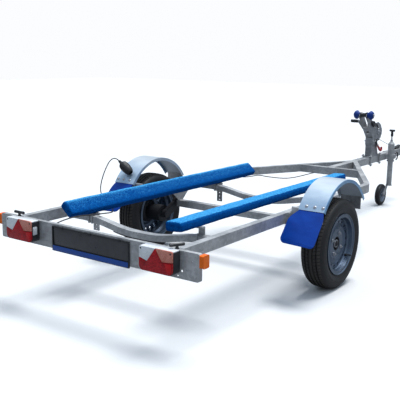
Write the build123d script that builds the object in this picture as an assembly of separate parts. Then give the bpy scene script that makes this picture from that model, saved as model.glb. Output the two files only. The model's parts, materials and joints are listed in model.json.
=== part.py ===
from build123d import *
import math
import os

os.makedirs("parts", exist_ok=True)

# Millimetres. X is the trailer's right, Y is forward, Z is up from the ground.
# Places along the trailer are given as distances forward of the light board's rear face.

# The whole trailer
overall_length = 4430
lamp_depth = 60
head_radius = 46
board_y = -overall_length / 2 + lamp_depth
ball_at = overall_length - lamp_depth - head_radius

# Frame tubes
frame_width = 1126
frame_top = 490
rail_width = 40
rail_height = 60
rail_wall = 3
bend_at = 0.502 * overall_length
bend_angle = 27.7
bend_radius = 180
drawbar_width = 60
drawbar_height = 60
drawbar_wall = 4
head_length = 264
drawbar_end = ball_at - head_length
tie_at = 0.621 * overall_length
tie_depth = 40

# Bowed cross-members between the rails
cross_height = 35
cross_depth = 45
cross_wall = 3
cross_below = 38
cross_dip = 45
cross_level = 173
cross_straight = frame_width / 2 - rail_width - cross_level
cross_flat = 110
cross_rear_at = 407

# Axle and wheels
axle_at = 0.2975 * overall_length
axle_height = 273.5
arm_length = 125
beam_at = axle_at + arm_length
cross_ahead = 241.5
cross_front_at = beam_at + cross_ahead
beam_height = 335
beam_size = 46
beam_wall = 4
arm_inset = 18
beam_half_length = frame_width / 2 - arm_inset
hanger_reach = 80
hanger_sheet = 6
hanger_width = 36
arm_thickness = 34
arm_radius = 34
eye_radius = 28
stub_radius = 15
stub_short = 20
hub_fit = 0.05
hub_radius = 58
hub_flange_radius = 80
hub_recess = 11
cap_radius = 22
tyre_radius = 273.5
tyre_width = 150
tyre_out = 140
tyre_centre = frame_width / 2 + tyre_out
bead_radius = 165
rim_flange_radius = 184
rim_width = 128
rim_sheet = 3
rim_drop = 150
disc_sheet = 5
wheel_offset = 30
wheel_face = tyre_centre + wheel_offset
centre_bore = 42.5
vent_count = 18
vent_radius = 9
vent_circle = 134.5
wheel_bolt_count = 4
wheel_bolt_circle = 65
wheel_bolt_hole = 7
wheel_bolt_turn = 63
vent_turn = 3

# Mudguards and flaps
guard_gap = 64.5
guard_radius = tyre_radius + guard_gap
guard_centre_height = 325
guard_width = 162
guard_over = 79
guard_outer = tyre_centre + guard_over
guard_inner = guard_outer - guard_width
guard_sheet = 2
guard_lip = 20
guard_rear_angle = 34
guard_front_angle = 33
bracket_sheet = 4
bracket_low = 440
bracket_foot = 40
bracket_rear_climb = 45
bracket_front_climb = 6
flap_length = 230
flap_sheet = 3
flap_lean = 48
flap_tuck = 26
flap_flare = 58
flap_corner = 24
flap_beyond = 15
flap_outer = guard_outer + flap_beyond
left_flap_width = 169
right_flap_width = 216

# Bunks, the strips under the left one and the brackets under the right one
bunk_width = 104
bunk_thickness = 48
bunk_length = 0.44 * overall_length
bunk_rear_at = 225
bunk_edge = 13
left_bunk_in = 160.5
left_bunk_x = frame_width / 2 - left_bunk_in
left_bunk_height = 505.5
left_bunk_tilt = 42
right_bunk_in = 211
right_bunk_x = frame_width / 2 - right_bunk_in
right_bunk_height = 523
right_bunk_tilt = 3
post_width = 42
post_beside = 7.5
post_outer = left_bunk_x - post_beside
post_inner = post_outer - post_width
post_sheet = 8
post_top = 462
post_hole = 5.5
foot_beside = 28
foot_inner = right_bunk_x + foot_beside
foot_length = 130
foot_depth = 34
foot_sheet = 4
upright_width = 40
seat_beside = 14
seat_inner = right_bunk_x + seat_beside
seat_depth = 24

# Light board, lamps, side markers and plate holder
board_beyond = 115
board_width = frame_width + 2 * board_beyond
board_height = 134
board_sheet = 2
board_flange = 24
board_corner = 10
lamp_width = 200
lamp_beyond = 8
lamp_outer = frame_width / 2 + lamp_beyond
lamp_inner = lamp_outer - lamp_width
lamp_height = 118
lamp_top = 497
lamp_chamfer = 15
lamp_round = 10
lens_depth = 34
lens_edge = 5
marker_depth = 24
marker_length = 45
marker_low = 425
marker_top = 487
marker_edge = 8
holder_width = 532
holder_height = 132
holder_depth = 9
holder_back = 3
holder_rim = 5
holder_strip = 30
holder_top = 482
knob_x = frame_width / 2 - rail_width / 2
knob_at = 12
knob_stem = 14
knob_bar = 76
knob_bar_radius = 8
right_knob_turn = 60

# Winch stand and bow stop
stand_back = 779
stand_at = ball_at - stand_back
stand_depth = 160
stand_top_depth = 84
stand_width = 60
stand_top = 665
stand_sheet = 4
stand_foot_rear = 40
stand_foot_front = 50
stop_back = 145
stop_at = stand_at - stop_back
stop_height = 876
stop_half_width = 88
cone_radius = 36
cone_waist = 17
roller_radius = 26
cheek_sheet = 4
cheek_lap = 65
plate_share = 0.5
window_width = 28
window_height = 34
pin_radius = 8

# Winch
shaft_ahead = 115
shaft_above = 50
shaft_at = stand_at + shaft_ahead
winch_height = stand_top + shaft_above
winch_half = stand_width / 2 + cheek_sheet
winch_sheet = 3
winch_round = 12
spacer_radius = 6
drum_flange_radius = 40
drum_core_radius = 20
drum_flange = 3
strap_radius = 36
crank_x = 84
crank_sheet = 6
crank_reach = 186
crank_angle = 30.7
crank_boss = 16
grip_length = 70
grip_radius = 13
hook_width = 14
strap_width = 40

# Jockey wheel
jockey_x = 73
jockey_back = 404
jockey_at = ball_at - jockey_back
jockey_outer = 30
jockey_inner = 24
jockey_low = 415
jockey_high = 580
jockey_overlap = 60
jockey_cap = 28
jockey_wheel_radius = 100
jockey_wheel_width = 46
jockey_trail = 66
jockey_offset = 50
fork_top = 190

# Coupling
ball_radius = 25.4
coupling_plate = 6
coupling_lap = 90
nose_height = 64
socket_below = 35
lever_rear = 130
lever_front = 10
lever_rise = 34
lever_half_width = 14

# Light cable with its plug, and the loom along the left rail
cable_diameter = 7
loom_diameter = 7
plug_radius = 27
plug_nose_radius = 21
plug_neck_radius = 9

fit_gap = 0.3


def box(x0, x1, y0, y1, z0, z1):
    """A block between two corners, with y measured from the light board."""
    block = Box(x1 - x0, y1 - y0, z1 - z0)
    return Pos((x0 + x1) / 2, board_y + (y0 + y1) / 2, (z0 + z1) / 2) * block


def rod_x(x0, x1, y, z, r):
    return Pos((x0 + x1) / 2, board_y + y, z) * Rot(0, 90, 0) * Cylinder(r, abs(x1 - x0))


def rod_y(x, y0, y1, z, r):
    return Pos(x, board_y + (y0 + y1) / 2, z) * Rot(90, 0, 0) * Cylinder(r, y1 - y0)


def rod_z(x, y, z0, z1, r):
    return Pos(x, board_y + y, (z0 + z1) / 2) * Cylinder(r, z1 - z0)


def plate_yz(points, x0, x1):
    """A plate across X whose outline is a list of (y, z) corners."""
    outline = make_face(Polyline(*[(x0, board_y + y, z) for y, z in points], close=True))
    return extrude(outline, amount=x1 - x0, dir=(1, 0, 0))


def plate_xz(points, y0, y1):
    """A plate across Y whose outline is a list of (x, z) corners."""
    outline = make_face(Polyline(*[(x, board_y + y0, z) for x, z in points], close=True))
    return extrude(outline, amount=y1 - y0, dir=(0, 1, 0))


def plate_xy(points, z0, z1):
    """A plate across Z whose outline is a list of (x, y) corners."""
    outline = make_face(Polyline(*[(x, board_y + y, z0) for x, y in points], close=True))
    return extrude(outline, amount=z1 - z0, dir=(0, 0, 1))


def turned_x(points, y, z):
    """A body turned about X from a list of (x, radius) corners."""
    outline = make_face(Polyline(*[(x, board_y + y, z + r) for x, r in points], close=True))
    return revolve(outline, axis=Axis((0, board_y + y, z), (1, 0, 0)))


def mirrored(solid):
    return mirror(solid, about=Plane.YZ)


def save(node, shape):
    export_step(shape, "parts/" + node + ".step")


def save_pair(node, right):
    save(node + "_right", right)
    save(node + "_left", mirrored(right))


# Main rails, bent in towards the drawbar
bend = math.radians(bend_angle)
rail_x = frame_width / 2 - rail_width / 2
rail_z = frame_top - rail_height / 2


def bent_bar(width, height, start):
    """A bar along the rail's centre line, from the board to beyond the drawbar's side."""
    corner = bend_at - rail_width / 2 * math.tan(bend / 2)
    reach = (rail_x + 100) / math.sin(bend)
    end = (rail_x - reach * math.sin(bend), board_y + corner + reach * math.cos(bend), rail_z)
    path = FilletPolyline(
        (rail_x, board_y + start, rail_z),
        (rail_x, board_y + corner, rail_z),
        end,
        radius=bend_radius,
    )
    section = Plane(origin=path @ 0, x_dir=(1, 0, 0), z_dir=path % 0) * Rectangle(width, height)
    return sweep(section, path=path)


def rail():
    outer = bent_bar(rail_width, rail_height, board_sheet)
    inner = bent_bar(rail_width - 2 * rail_wall, rail_height - 2 * rail_wall, board_sheet - 10)
    inside = box(-frame_width, drawbar_width / 2, 0, overall_length + 500, 0, 2 * frame_top)
    return (outer - inner) - inside


def diagonal_inner(y):
    """Half the clear width between the two diagonals at y."""
    outer = frame_width / 2 - (y - bend_at) * math.tan(bend)
    return outer - rail_width / math.cos(bend)


def front_tie():
    y0 = tie_at - tie_depth / 2
    y1 = tie_at + tie_depth / 2
    z0 = frame_top - rail_height

    def wedge(cut, extra):
        a = diagonal_inner(y0 + cut) + extra
        b = diagonal_inner(y1 - cut) + extra
        corners = [(-a, y0 + cut), (a, y0 + cut), (b, y1 - cut), (-b, y1 - cut)]
        return plate_xy(corners, z0 + cut, frame_top - cut)

    return wedge(0, 0) - wedge(rail_wall, 20)


def drawbar():
    half = drawbar_width / 2
    y0 = tie_at + tie_depth / 2
    z0 = frame_top - drawbar_height
    w = drawbar_wall
    outer = box(-half, half, y0, drawbar_end, z0, frame_top)
    inner = box(-half + w, half - w, y0 - 5, drawbar_end + 5, z0 + w, frame_top - w)
    return outer - inner


rail_right = rail()
save_pair("rail", rail_right)
save("front_tie", front_tie())
save("drawbar", drawbar())

# Bowed cross-members between the rails
cross_top = frame_top - cross_below


def bowed_bar(at, height, depth, extra):
    half = frame_width / 2 - rail_width + extra
    z = cross_top - cross_height / 2
    run = math.hypot(cross_straight - cross_flat, cross_dip)
    half_turn = math.atan2(cross_dip, cross_straight - cross_flat) / 2
    path = FilletPolyline(
        (-half, board_y + at, z),
        (-cross_straight, board_y + at, z),
        (-cross_flat, board_y + at, z - cross_dip),
        (cross_flat, board_y + at, z - cross_dip),
        (cross_straight, board_y + at, z),
        (half, board_y + at, z),
        radius=0.45 * min(run, 2 * cross_flat, half - cross_straight) / math.tan(half_turn),
    )
    section = Plane(origin=path @ 0, x_dir=(0, 1, 0), z_dir=path % 0) * Rectangle(depth, height)
    return sweep(section, path=path)


member_bars = {}
for name, at in (("rear", cross_rear_at), ("front", cross_front_at)):
    w = 2 * cross_wall
    member_bars[name] = bowed_bar(at, cross_height, cross_depth, 0)
    inner = bowed_bar(at, cross_height - w, cross_depth - w, 5)
    save("cross_member_" + name, member_bars[name] - inner)


# Axle beam with its two rail brackets, trailing arms, hubs
def axle_beam():
    half = beam_size / 2
    w = beam_wall
    low = beam_height - half
    high = beam_height + half
    y0 = beam_at - half
    y1 = beam_at + half
    rail_low = frame_top - rail_height
    beam = box(-beam_half_length, beam_half_length, y0, y1, low, high)
    beam -= box(-beam_half_length - 5, beam_half_length + 5, y0 + w, y1 - w, low + w, high - w)
    for side in (-1, 1):
        middle = side * (rail_x - hanger_width / 2 + hanger_sheet / 2)
        beam += plate_yz(
            [(y0 - hanger_reach, rail_low), (y1 + hanger_reach, rail_low), (y1, high), (y0, high)],
            middle - hanger_sheet / 2,
            middle + hanger_sheet / 2,
        )
        beam += box(
            side * rail_x - hanger_width / 2,
            side * rail_x + hanger_width / 2,
            y0 - hanger_reach,
            y1 + hanger_reach,
            rail_low - hanger_sheet,
            rail_low,
        )
    return beam


def trailing_arm():
    x0 = beam_half_length
    x1 = x0 + arm_thickness
    arm = rod_x(x0, x1, beam_at, beam_height, arm_radius)
    eye = rod_x(x0, x1, axle_at, axle_height, eye_radius)
    web = plate_yz(
        [
            (beam_at, beam_height + arm_radius - 4),
            (axle_at, axle_height + eye_radius - 2),
            (axle_at, axle_height - eye_radius + 2),
            (beam_at, beam_height - arm_radius + 4),
        ],
        x0,
        x1,
    )
    pivot = rod_x(x0 - 30, x0, beam_at, beam_height, beam_size / 2 - beam_wall - 1)
    stub = rod_x(x1, wheel_face - stub_short, axle_at, axle_height, stub_radius)
    return arm + eye + web + pivot + stub


def hub():
    x0 = beam_half_length + arm_thickness + 3
    end = wheel_face - stub_short + 2
    face = wheel_face - hub_recess
    return turned_x(
        [
            (x0, stub_radius + hub_fit),
            (x0, hub_radius),
            (wheel_face - 30, hub_radius),
            (wheel_face - 12, hub_flange_radius),
            (wheel_face, hub_flange_radius),
            (wheel_face, centre_bore - 1),
            (wheel_face + 3, centre_bore - 1),
            (wheel_face + 3, centre_bore - 5),
            (face, centre_bore - 8),
            (face, cap_radius),
            (wheel_face + 1, cap_radius - 2),
            (wheel_face + 1, 0),
            (end, 0),
            (end, stub_radius + hub_fit),
        ],
        axle_at,
        axle_height,
    )


save("axle_beam", axle_beam())
save_pair("trailing_arm", trailing_arm())
save_pair("hub", hub())


# Steel rim and tyre
def rim():
    c = tyre_centre
    h = rim_width / 2
    s = rim_sheet
    f = rim_flange_radius
    b = bead_radius
    drop = rim_drop
    wf = wheel_face
    skin = [
        (c - h - 6, f),
        (c - h, f),
        (c - h + 2, b),
        (c - h + 24, b - 3),
        (c - h + 38, drop),
        (wf - 6, drop),
        (wf + 10, b - 5),
        (c + h - 2, b),
        (c + h, f),
        (c + h + 6, f),
    ]
    under = [
        (c + h + 6, f - s),
        (c + h + 1, f - s - 4),
        (c + h + 1, b - s),
        (wf + 12, b - 5 - s),
        (wf - 4, drop - s),
        (c - h + 36, drop - s),
        (c - h + 22, b - 3 - s),
        (c - h - 1, b - s),
        (c - h - 1, f - s - 4),
        (c - h - 6, f - s),
    ]
    barrel = turned_x(skin + under, axle_at, axle_height)
    d = drop - s
    t = disc_sheet
    disc = turned_x(
        [
            (wf, centre_bore),
            (wf, 88),
            (wf + 9, 103),
            (wf + 2, 119),
            (wf, 122),
            (wf, d - 2.5),
            (wf - 20, d - 2.5),
            (wf - 20, d + 1),
            (wf + t, d + 1),
            (wf + t, 123),
            (wf + t + 2, 120),
            (wf + t + 9, 103),
            (wf + t, 87),
            (wf + t, centre_bore),
        ],
        axle_at,
        axle_height,
    )
    holes = []
    for count, circle, radius, first in (
        (vent_count, vent_circle, vent_radius, vent_turn),
        (wheel_bolt_count, wheel_bolt_circle, wheel_bolt_hole, wheel_bolt_turn),
    ):
        for k in range(count):
            turn = math.radians(first) + 2 * math.pi * k / count
            y = axle_at + circle * math.cos(turn)
            z = axle_height + circle * math.sin(turn)
            holes.append(rod_x(wf - 30, wf + 40, y, z, radius))
    return barrel + (disc - holes)


def tyre():
    c = tyre_centre
    w = tyre_width / 2
    r = tyre_radius
    b = bead_radius
    h = rim_width / 2
    shape = turned_x(
        [
            (c - h + 2, b),
            (c - h + 1, rim_flange_radius + 1),
            (c - w + 6, b + 38),
            (c - w, b + 62),
            (c - w + 3, r - 26),
            (c - w + 14, r - 7),
            (c - w + 26, r - 1),
            (c, r),
            (c + w - 26, r - 1),
            (c + w - 14, r - 7),
            (c + w - 3, r - 26),
            (c + w, b + 62),
            (c + w - 6, b + 38),
            (c + h - 1, rim_flange_radius + 1),
            (c + h - 2, b),
            (c + h - 22, b - 5 * 20 / (c + h - 2 - (wheel_face + 10))),
            (c + h - 16, b + 30),
            (c + w - 10, b + 62),
            (c + w - 16, r - 24),
            (c + w - 34, r - 13),
            (c - w + 34, r - 13),
            (c - w + 16, r - 24),
            (c - w + 10, b + 62),
            (c - h + 16, b + 30),
            (c - h + 24, b - 3),
        ],
        axle_at,
        axle_height,
    )
    return shape


save_pair("rim", rim())
save_pair("tyre", tyre())


# Mudguards
def guard_point(angle, radius):
    """(y, z) on the arch, with the angle counted from the rear horizontal."""
    turn = math.radians(angle)
    return axle_at - radius * math.cos(turn), guard_centre_height + radius * math.sin(turn)


def mudguard():
    s = guard_sheet
    outline = [
        (guard_inner, guard_radius - guard_lip),
        (guard_inner, guard_radius),
        (guard_outer, guard_radius),
        (guard_outer, guard_radius - guard_lip),
        (guard_outer - s, guard_radius - guard_lip),
        (guard_outer - s, guard_radius - s),
        (guard_inner + s, guard_radius - s),
        (guard_inner + s, guard_radius - guard_lip),
    ]
    centre = (0, board_y + axle_at, guard_centre_height)
    face = make_face(Polyline(*[(x, centre[1] - r, centre[2]) for x, r in outline], close=True))
    axis = Axis(centre, (1, 0, 0))
    sweep_angle = 180 - guard_rear_angle - guard_front_angle
    arch = revolve(face.rotate(axis, -guard_rear_angle), axis=axis, revolution_arc=-sweep_angle)
    return arch


def flap(side, inner):
    """A plastic sheet that leans back from the arch's rear end, wider below it."""
    y, z = guard_point(guard_rear_angle, guard_radius - guard_sheet - 0.2)
    lean = math.radians(flap_lean)
    tab_inner = guard_inner + 4
    tab_outer = guard_outer - 4
    outline = [
        (tab_inner, flap_tuck),
        (tab_outer, flap_tuck),
        (tab_outer, -4),
        (flap_outer - 5, -flap_flare + 14),
        (flap_outer, -flap_length + flap_corner - 4),
        (flap_outer - 12, -flap_length),
        (inner + flap_corner, -flap_length + 8),
        (inner, -flap_length + flap_corner + 8),
        (inner, -flap_flare),
        (tab_inner, -4),
    ]
    plane = Plane(
        origin=(0, board_y + y, z),
        x_dir=(1, 0, 0),
        z_dir=(0, -math.sin(lean), math.cos(lean)),
    )
    face = plane * make_face(Polyline(*[(side * x, d) for x, d in outline], close=True))
    return extrude(face, amount=flap_sheet, dir=(0, math.sin(lean), -math.cos(lean)))


def guard_bracket(y, way):
    """A folded plate from the rail's side whose top meets the arch from below."""
    t = bracket_sheet
    x0 = frame_width / 2
    web = box(x0, guard_outer - guard_lip, y, y + t, bracket_low, guard_centre_height + guard_radius)
    under_lips = rod_x(0, guard_outer, axle_at, guard_centre_height, guard_radius - guard_lip - 2)
    under_sheet = rod_x(
        guard_inner + 8, guard_outer, axle_at, guard_centre_height, guard_radius - guard_sheet
    )
    ends = sorted((y + t * (1 - way) / 2, y + t * (1 - way) / 2 + way * bracket_foot))
    foot = box(x0, x0 + t, ends[0], ends[1], bracket_low, frame_top - 4)
    return (web & (under_lips + under_sheet)) + foot


save_pair("mudguard", mudguard())
save("flap_left", flap(-1, flap_outer - left_flap_width))
save("flap_right", flap(1, flap_outer - right_flap_width))
rear_climb = math.degrees(bracket_rear_climb / guard_radius)
rear_y = guard_point(guard_rear_angle + rear_climb, guard_radius)[0]
front_y = guard_point(180 - guard_front_angle, guard_radius)[0]
save_pair("guard_bracket_rear", guard_bracket(rear_y, -1))
save_pair(
    "guard_bracket_front",
    guard_bracket(front_y - bracket_front_climb - bracket_sheet, 1),
)


# Bunks. The left one leans on perforated strips in front of the cross-members,
# the right one on brackets that stand on them.
def bunk(side, tilt, x, z):
    pad = Box(bunk_width, bunk_length, bunk_thickness)
    pad = fillet(pad.edges().filter_by(Axis.Y), bunk_edge)
    place = Pos(side * x, board_y + bunk_rear_at + bunk_length / 2, z)
    return place * Rot(0, -side * tilt, 0) * pad


left_bunk = bunk(-1, left_bunk_tilt, left_bunk_x, left_bunk_height)
right_bunk = bunk(1, right_bunk_tilt, right_bunk_x, right_bunk_height)
save("bunk_left", left_bunk)
save("bunk_right", right_bunk)


def post(at, low, holes):
    """A perforated strip on the member's front face, cut to the bunk above it."""
    y0 = at + cross_depth / 2
    strip = box(-post_outer, -post_inner, y0, y0 + post_sheet, low, post_top) - left_bunk
    for height in holes:
        middle = -(post_outer + post_inner) / 2
        strip -= rod_y(middle, y0 - 1, y0 + post_sheet + 1, height, post_hole)
    return strip


def side_bracket(at, member):
    """A foot along the member's top, an upright on it and a seat under the bunk."""
    t = foot_sheet
    under = right_bunk_height - bunk_thickness / 2
    foot = box(foot_inner, foot_inner + foot_length, at - foot_depth / 2, at + foot_depth / 2, cross_top - 8, cross_top + t)
    upright = box(foot_inner, foot_inner + upright_width, at - t / 2, at + t / 2, cross_top, under + 4)
    seat = box(seat_inner, foot_inner + upright_width, at - seat_depth, at + t / 2, under - 5, under + 4)
    return ((foot - member) + (upright - right_bunk)) + (seat - right_bunk)


post_table = (
    # row, place of the member, foot of the strip, heights of its holes
    ("rear", cross_rear_at, cross_top - 97, (cross_top - 65, cross_top - 89)),
    (
        "front",
        cross_front_at,
        cross_top - 127,
        (cross_top - 63, cross_top - 89, cross_top - 115),
    ),
)
for row, at, low, holes in post_table:
    save("bunk_post_" + row + "_left", post(at, low, holes))
    save("bunk_post_" + row + "_right", side_bracket(at, member_bars[row]))


# Light board, lamps, side markers, plate holder and the knobs that hold the board
board_holes = (
    # x, height above the lower edge, radius
    (frame_width / 2 - 4, 11, 5),
    (frame_width / 2 + 19, 39, 5),
)


def light_board():
    """A tray of folded sheet, open towards the front."""
    half = board_width / 2
    top = frame_top + board_sheet
    low = top - board_height
    s = board_sheet
    tray = box(-half, half, 0, board_flange, low, top)
    tray = fillet(tray.edges().filter_by(Axis.Y), board_corner)
    inside = box(-half + s, half - s, s, board_flange + 1, low + s, top - s)
    tray -= fillet(inside.edges().filter_by(Axis.Y), board_corner - s)
    for x, height, radius in board_holes:
        tray -= rod_y(x, -1, s + 1, low + height, radius)
    return tray


def lamp_block(y0, y1):
    c = lamp_chamfer
    low = lamp_top - lamp_height
    outline = [
        (lamp_inner, lamp_top),
        (lamp_outer, lamp_top),
        (lamp_outer, low + c),
        (lamp_outer - c, low),
        (lamp_inner + c, low),
        (lamp_inner, low + c),
    ]
    block = plate_xz(outline, y0, y1)
    return fillet(block.edges().filter_by(Axis.Y).sort_by(Axis.Z)[-2:], lamp_round)


def lamp_lens():
    front = lens_depth - lamp_depth
    block = lamp_block(-lamp_depth, front)
    return chamfer(block.faces().sort_by(Axis.Y)[0].edges(), lens_edge)


def side_marker():
    x0 = board_width / 2
    block = box(x0, x0 + marker_depth, 0, marker_length, marker_low, marker_top)
    return fillet(block.edges().filter_by(Axis.X), marker_edge)


def plate_holder():
    half = holder_width / 2
    low = holder_top - holder_height
    rim = holder_rim
    tray = box(-half, half, -holder_depth, 0, low, holder_top)
    top = holder_top - rim
    return tray - box(
        -half + rim, half - rim, -holder_depth - 1, -holder_back, low + holder_strip, top
    )


def knob(side, turn):
    top = frame_top + board_sheet
    stem = rod_z(side * knob_x, knob_at, top, top + knob_stem, knob_bar_radius - 1)
    place = Pos(side * knob_x, board_y + knob_at, top + knob_stem + knob_bar_radius - 2)
    return stem + place * Rot(0, 0, turn) * Rot(0, 90, 0) * Cylinder(knob_bar_radius, knob_bar)


save("light_board", light_board())
save_pair("lamp_body", lamp_block(lens_depth - lamp_depth, 0))
save_pair("lamp_lens", lamp_lens())
save_pair("side_marker", side_marker())
save("plate_holder", plate_holder())
save("board_knob_left", knob(-1, 0))
save("board_knob_right", knob(1, right_knob_turn))


# Winch stand: post, head with the bow stop
def post_front(z):
    """The front of the tapered post at a height."""
    taper = (stand_depth - stand_top_depth) / (stand_top - frame_top)
    return stand_at + stand_depth - (z - frame_top) * taper


def winch_post():
    half = stand_width / 2
    s = stand_sheet
    outline = [
        (stand_at, frame_top),
        (stand_at + stand_depth, frame_top),
        (stand_at + stand_top_depth, stand_top),
        (stand_at, stand_top),
    ]
    inner = [
        (stand_at + s, frame_top - 5),
        (post_front(frame_top - 5) - s, frame_top - 5),
        (post_front(stand_top + 5) - s, stand_top + 5),
        (stand_at + s, stand_top + 5),
    ]
    shape = plate_yz(outline, -half, half) - plate_yz(inner, -half + s, half - s)
    foot = box(
        -half + 3,
        half - 3,
        stand_at - stand_foot_rear,
        stand_at + stand_depth + stand_foot_front,
        frame_top,
        frame_top + s,
    )
    return shape + foot


def stand_head():
    """Two cheeks that lean back from the post's top and hold the bow stop's pin."""
    c = cheek_sheet
    half = stand_width / 2
    front = stand_at + stand_top_depth
    outline = [
        (stand_at - 1, stand_top - cheek_lap),
        (front - 9, stand_top - cheek_lap),
        (front + 3, stand_top),
        (front - 29, stand_top + 55),
        (stop_at + 65, stop_height - 1),
        (stop_at + 48, stop_height + 12),
        (stop_at + 30, stop_height + 19),
        (stop_at + 8, stop_height + 19),
        (stop_at - 12, stop_height + 12),
        (stop_at - 28, stop_height - 4),
        (stop_at - 34, stop_height - 18),
        (stand_at + 3, stand_top + 3),
    ]
    shape = plate_yz(outline, half, half + c) + plate_yz(outline, -half - c, -half)
    base = Vector(0, board_y + stand_at + 4, stand_top + 4)
    edge = Vector(0, board_y + stop_at - 32, stop_height - 18) - base
    along = edge.normalized()
    plate = Plane(origin=base + edge * plate_share / 2, x_dir=(1, 0, 0), z_dir=along)
    reach = edge.length * plate_share
    shape += plate * (Pos(0, c / 2, 0) * (Box(2 * half, c, reach) - Box(window_width, 2 * c, window_height)))
    shape += rod_x(-stop_half_width - 4, stop_half_width + 4, stop_at, stop_height, pin_radius)
    return shape


def bow_roller():
    """The waisted roller between the cheeks, turning on the pin."""
    g = pin_radius + hub_fit
    w = stand_width / 2 - 1
    r = roller_radius
    return turned_x([(-w, g), (-w, r), (-8, r - 8), (8, r - 8), (w, r), (w, g)], stop_at, stop_height)


def bow_cone():
    """The cone outside a cheek, wide at its outer end."""
    g = pin_radius + hub_fit
    x0 = stand_width / 2 + cheek_sheet + 1
    x1 = stop_half_width
    outline = [
        (x0, g),
        (x0, cone_waist),
        (x1 - 22, cone_radius),
        (x1 - 4, cone_radius - 10),
        (x1, 14),
        (x1, g),
    ]
    return turned_x(outline, stop_at, stop_height)


save("winch_post", winch_post())
save("stand_head", stand_head())
save("bow_roller", bow_roller())
save_pair("bow_cone", bow_cone())


# Winch: two side plates on the head's cheeks, the reel and its crank, the strap's hook
def winch_frame():
    y = shaft_at
    z = winch_height
    outline = [
        (y - 85, z + 75),
        (y - 8, z + 87),
        (y + 55, z + 60),
        (y + 93, z + 6),
        (y + 87, z - 33),
        (y + 37, z - 81),
        (y - 25, z - 93),
        (y - 60, z - 75),
        (y - 60, z - 25),
    ]
    side = plate_yz(outline, winch_half, winch_half + winch_sheet)
    side = fillet(side.edges().filter_by(Axis.X), winch_round)
    side -= rod_x(winch_half - 1, winch_half + winch_sheet + 1, y, z, pin_radius + hub_fit)
    shape = side + mirrored(side)
    for dy, dz in ((45, -53), (0, -65), (-40, 65)):
        shape += rod_x(-winch_half, winch_half, y + dy, z + dz, spacer_radius)
    return shape


def winch_drum():
    w = winch_half - 2
    r = pin_radius
    core = drum_core_radius
    flange = drum_flange_radius
    outline = [
        (-crank_x - crank_sheet, 0),
        (-crank_x - crank_sheet, r),
        (-w, r),
        (-w, flange),
        (-w + drum_flange, flange),
        (-w + drum_flange, core),
        (w - drum_flange, core),
        (w - drum_flange, flange),
        (w, flange),
        (w, r),
        (winch_half + 12, r),
        (winch_half + 12, 0),
    ]
    return turned_x(outline, shaft_at, winch_height)


def winch_strap():
    """The strap's turns on the drum."""
    w = winch_half - 2 - drum_flange
    core = drum_core_radius
    outline = [(-w, core), (-w, strap_radius), (w, strap_radius), (w, core)]
    return turned_x(outline, shaft_at, winch_height)


def strap_hook():
    """The strap's free end and its hook, which lies on the post's front."""
    y0 = post_front(540)
    hook = plate_yz(
        [
            (post_front(598), 598),
            (y0, 540),
            (y0 + 6, 527),
            (y0 + 20, 522),
            (y0 + 34, 530),
            (y0 + 38, 552),
            (y0 + 30, 553),
            (y0 + 26, 538),
            (y0 + 18, 533),
            (y0 + 11, 540),
            (post_front(598) + 10, 598),
        ],
        -hook_width / 2,
        hook_width / 2,
    )
    strap_end = plate_yz(
        [
            (post_front(590) + 1, 590),
            (post_front(590) + 8, 590),
            (shaft_at + 35, winch_height - 44),
            (shaft_at + 31, winch_height - 44),
        ],
        -strap_width / 2,
        strap_width / 2,
    )
    return hook + strap_end


def winch_crank():
    """A flat arm on the shaft's left end, with its grip pointing outwards."""
    y = shaft_at
    z = winch_height
    dy = -math.cos(math.radians(crank_angle)) * crank_reach
    dz = math.sin(math.radians(crank_angle)) * crank_reach
    x0 = -crank_x - crank_sheet
    x1 = -crank_x
    arm = plate_yz(
        [(y + 8, z + 14), (y - 8, z - 14), (y + dy - 6, z + dz - 10), (y + dy + 6, z + dz + 10)],
        x0,
        x1,
    )
    arm += rod_x(x0, x1, y, z, crank_boss)
    arm -= rod_x(x0 - 1, x1 + 1, y, z, pin_radius)
    return arm + rod_x(x0 - grip_length, x0, y + dy, z + dz, grip_radius)


save("winch_frame", winch_frame())
save("winch_drum", winch_drum())
save("winch_strap", winch_strap())
save("winch_crank", winch_crank())
save("strap_hook", strap_hook())


# Jockey wheel
def jockey_clamp():
    x = jockey_x
    outer = rod_z(x, jockey_at, frame_top - 50, frame_top - 8, jockey_outer + 6)
    outer += box(drawbar_width / 2, x, jockey_at - 26, jockey_at + 26, frame_top - 50, frame_top - 8)
    return outer - rod_z(x, jockey_at, 0, 2 * frame_top, jockey_outer)


def jockey_tube():
    x = jockey_x
    tube = rod_z(x, jockey_at, jockey_low, jockey_high, jockey_outer)
    tube -= rod_z(x, jockey_at, jockey_low - 1, jockey_high - 6, jockey_inner + hub_fit)
    cap = Pos(x, board_y + jockey_at, jockey_high) * Cone(
        jockey_outer, 9, jockey_cap, align=(Align.CENTER, Align.CENTER, Align.MIN)
    )
    return tube + cap


def jockey_handle():
    x = jockey_x
    low = jockey_high + jockey_cap
    shape = rod_z(x, jockey_at, low, low + 90, 6)
    shape += rod_z(x, jockey_at, low + 42, low + 90, 9)
    shape += rod_x(x - 26, x + 26, jockey_at, low + 98, 9)
    return shape


def jockey_stem():
    x = jockey_x
    stem = rod_z(x, jockey_at, fork_top + 2, jockey_low + jockey_overlap, jockey_inner)
    stem -= rod_z(x, jockey_at, fork_top - 1, jockey_low + jockey_overlap + 1, jockey_inner - 4)
    return stem


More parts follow.
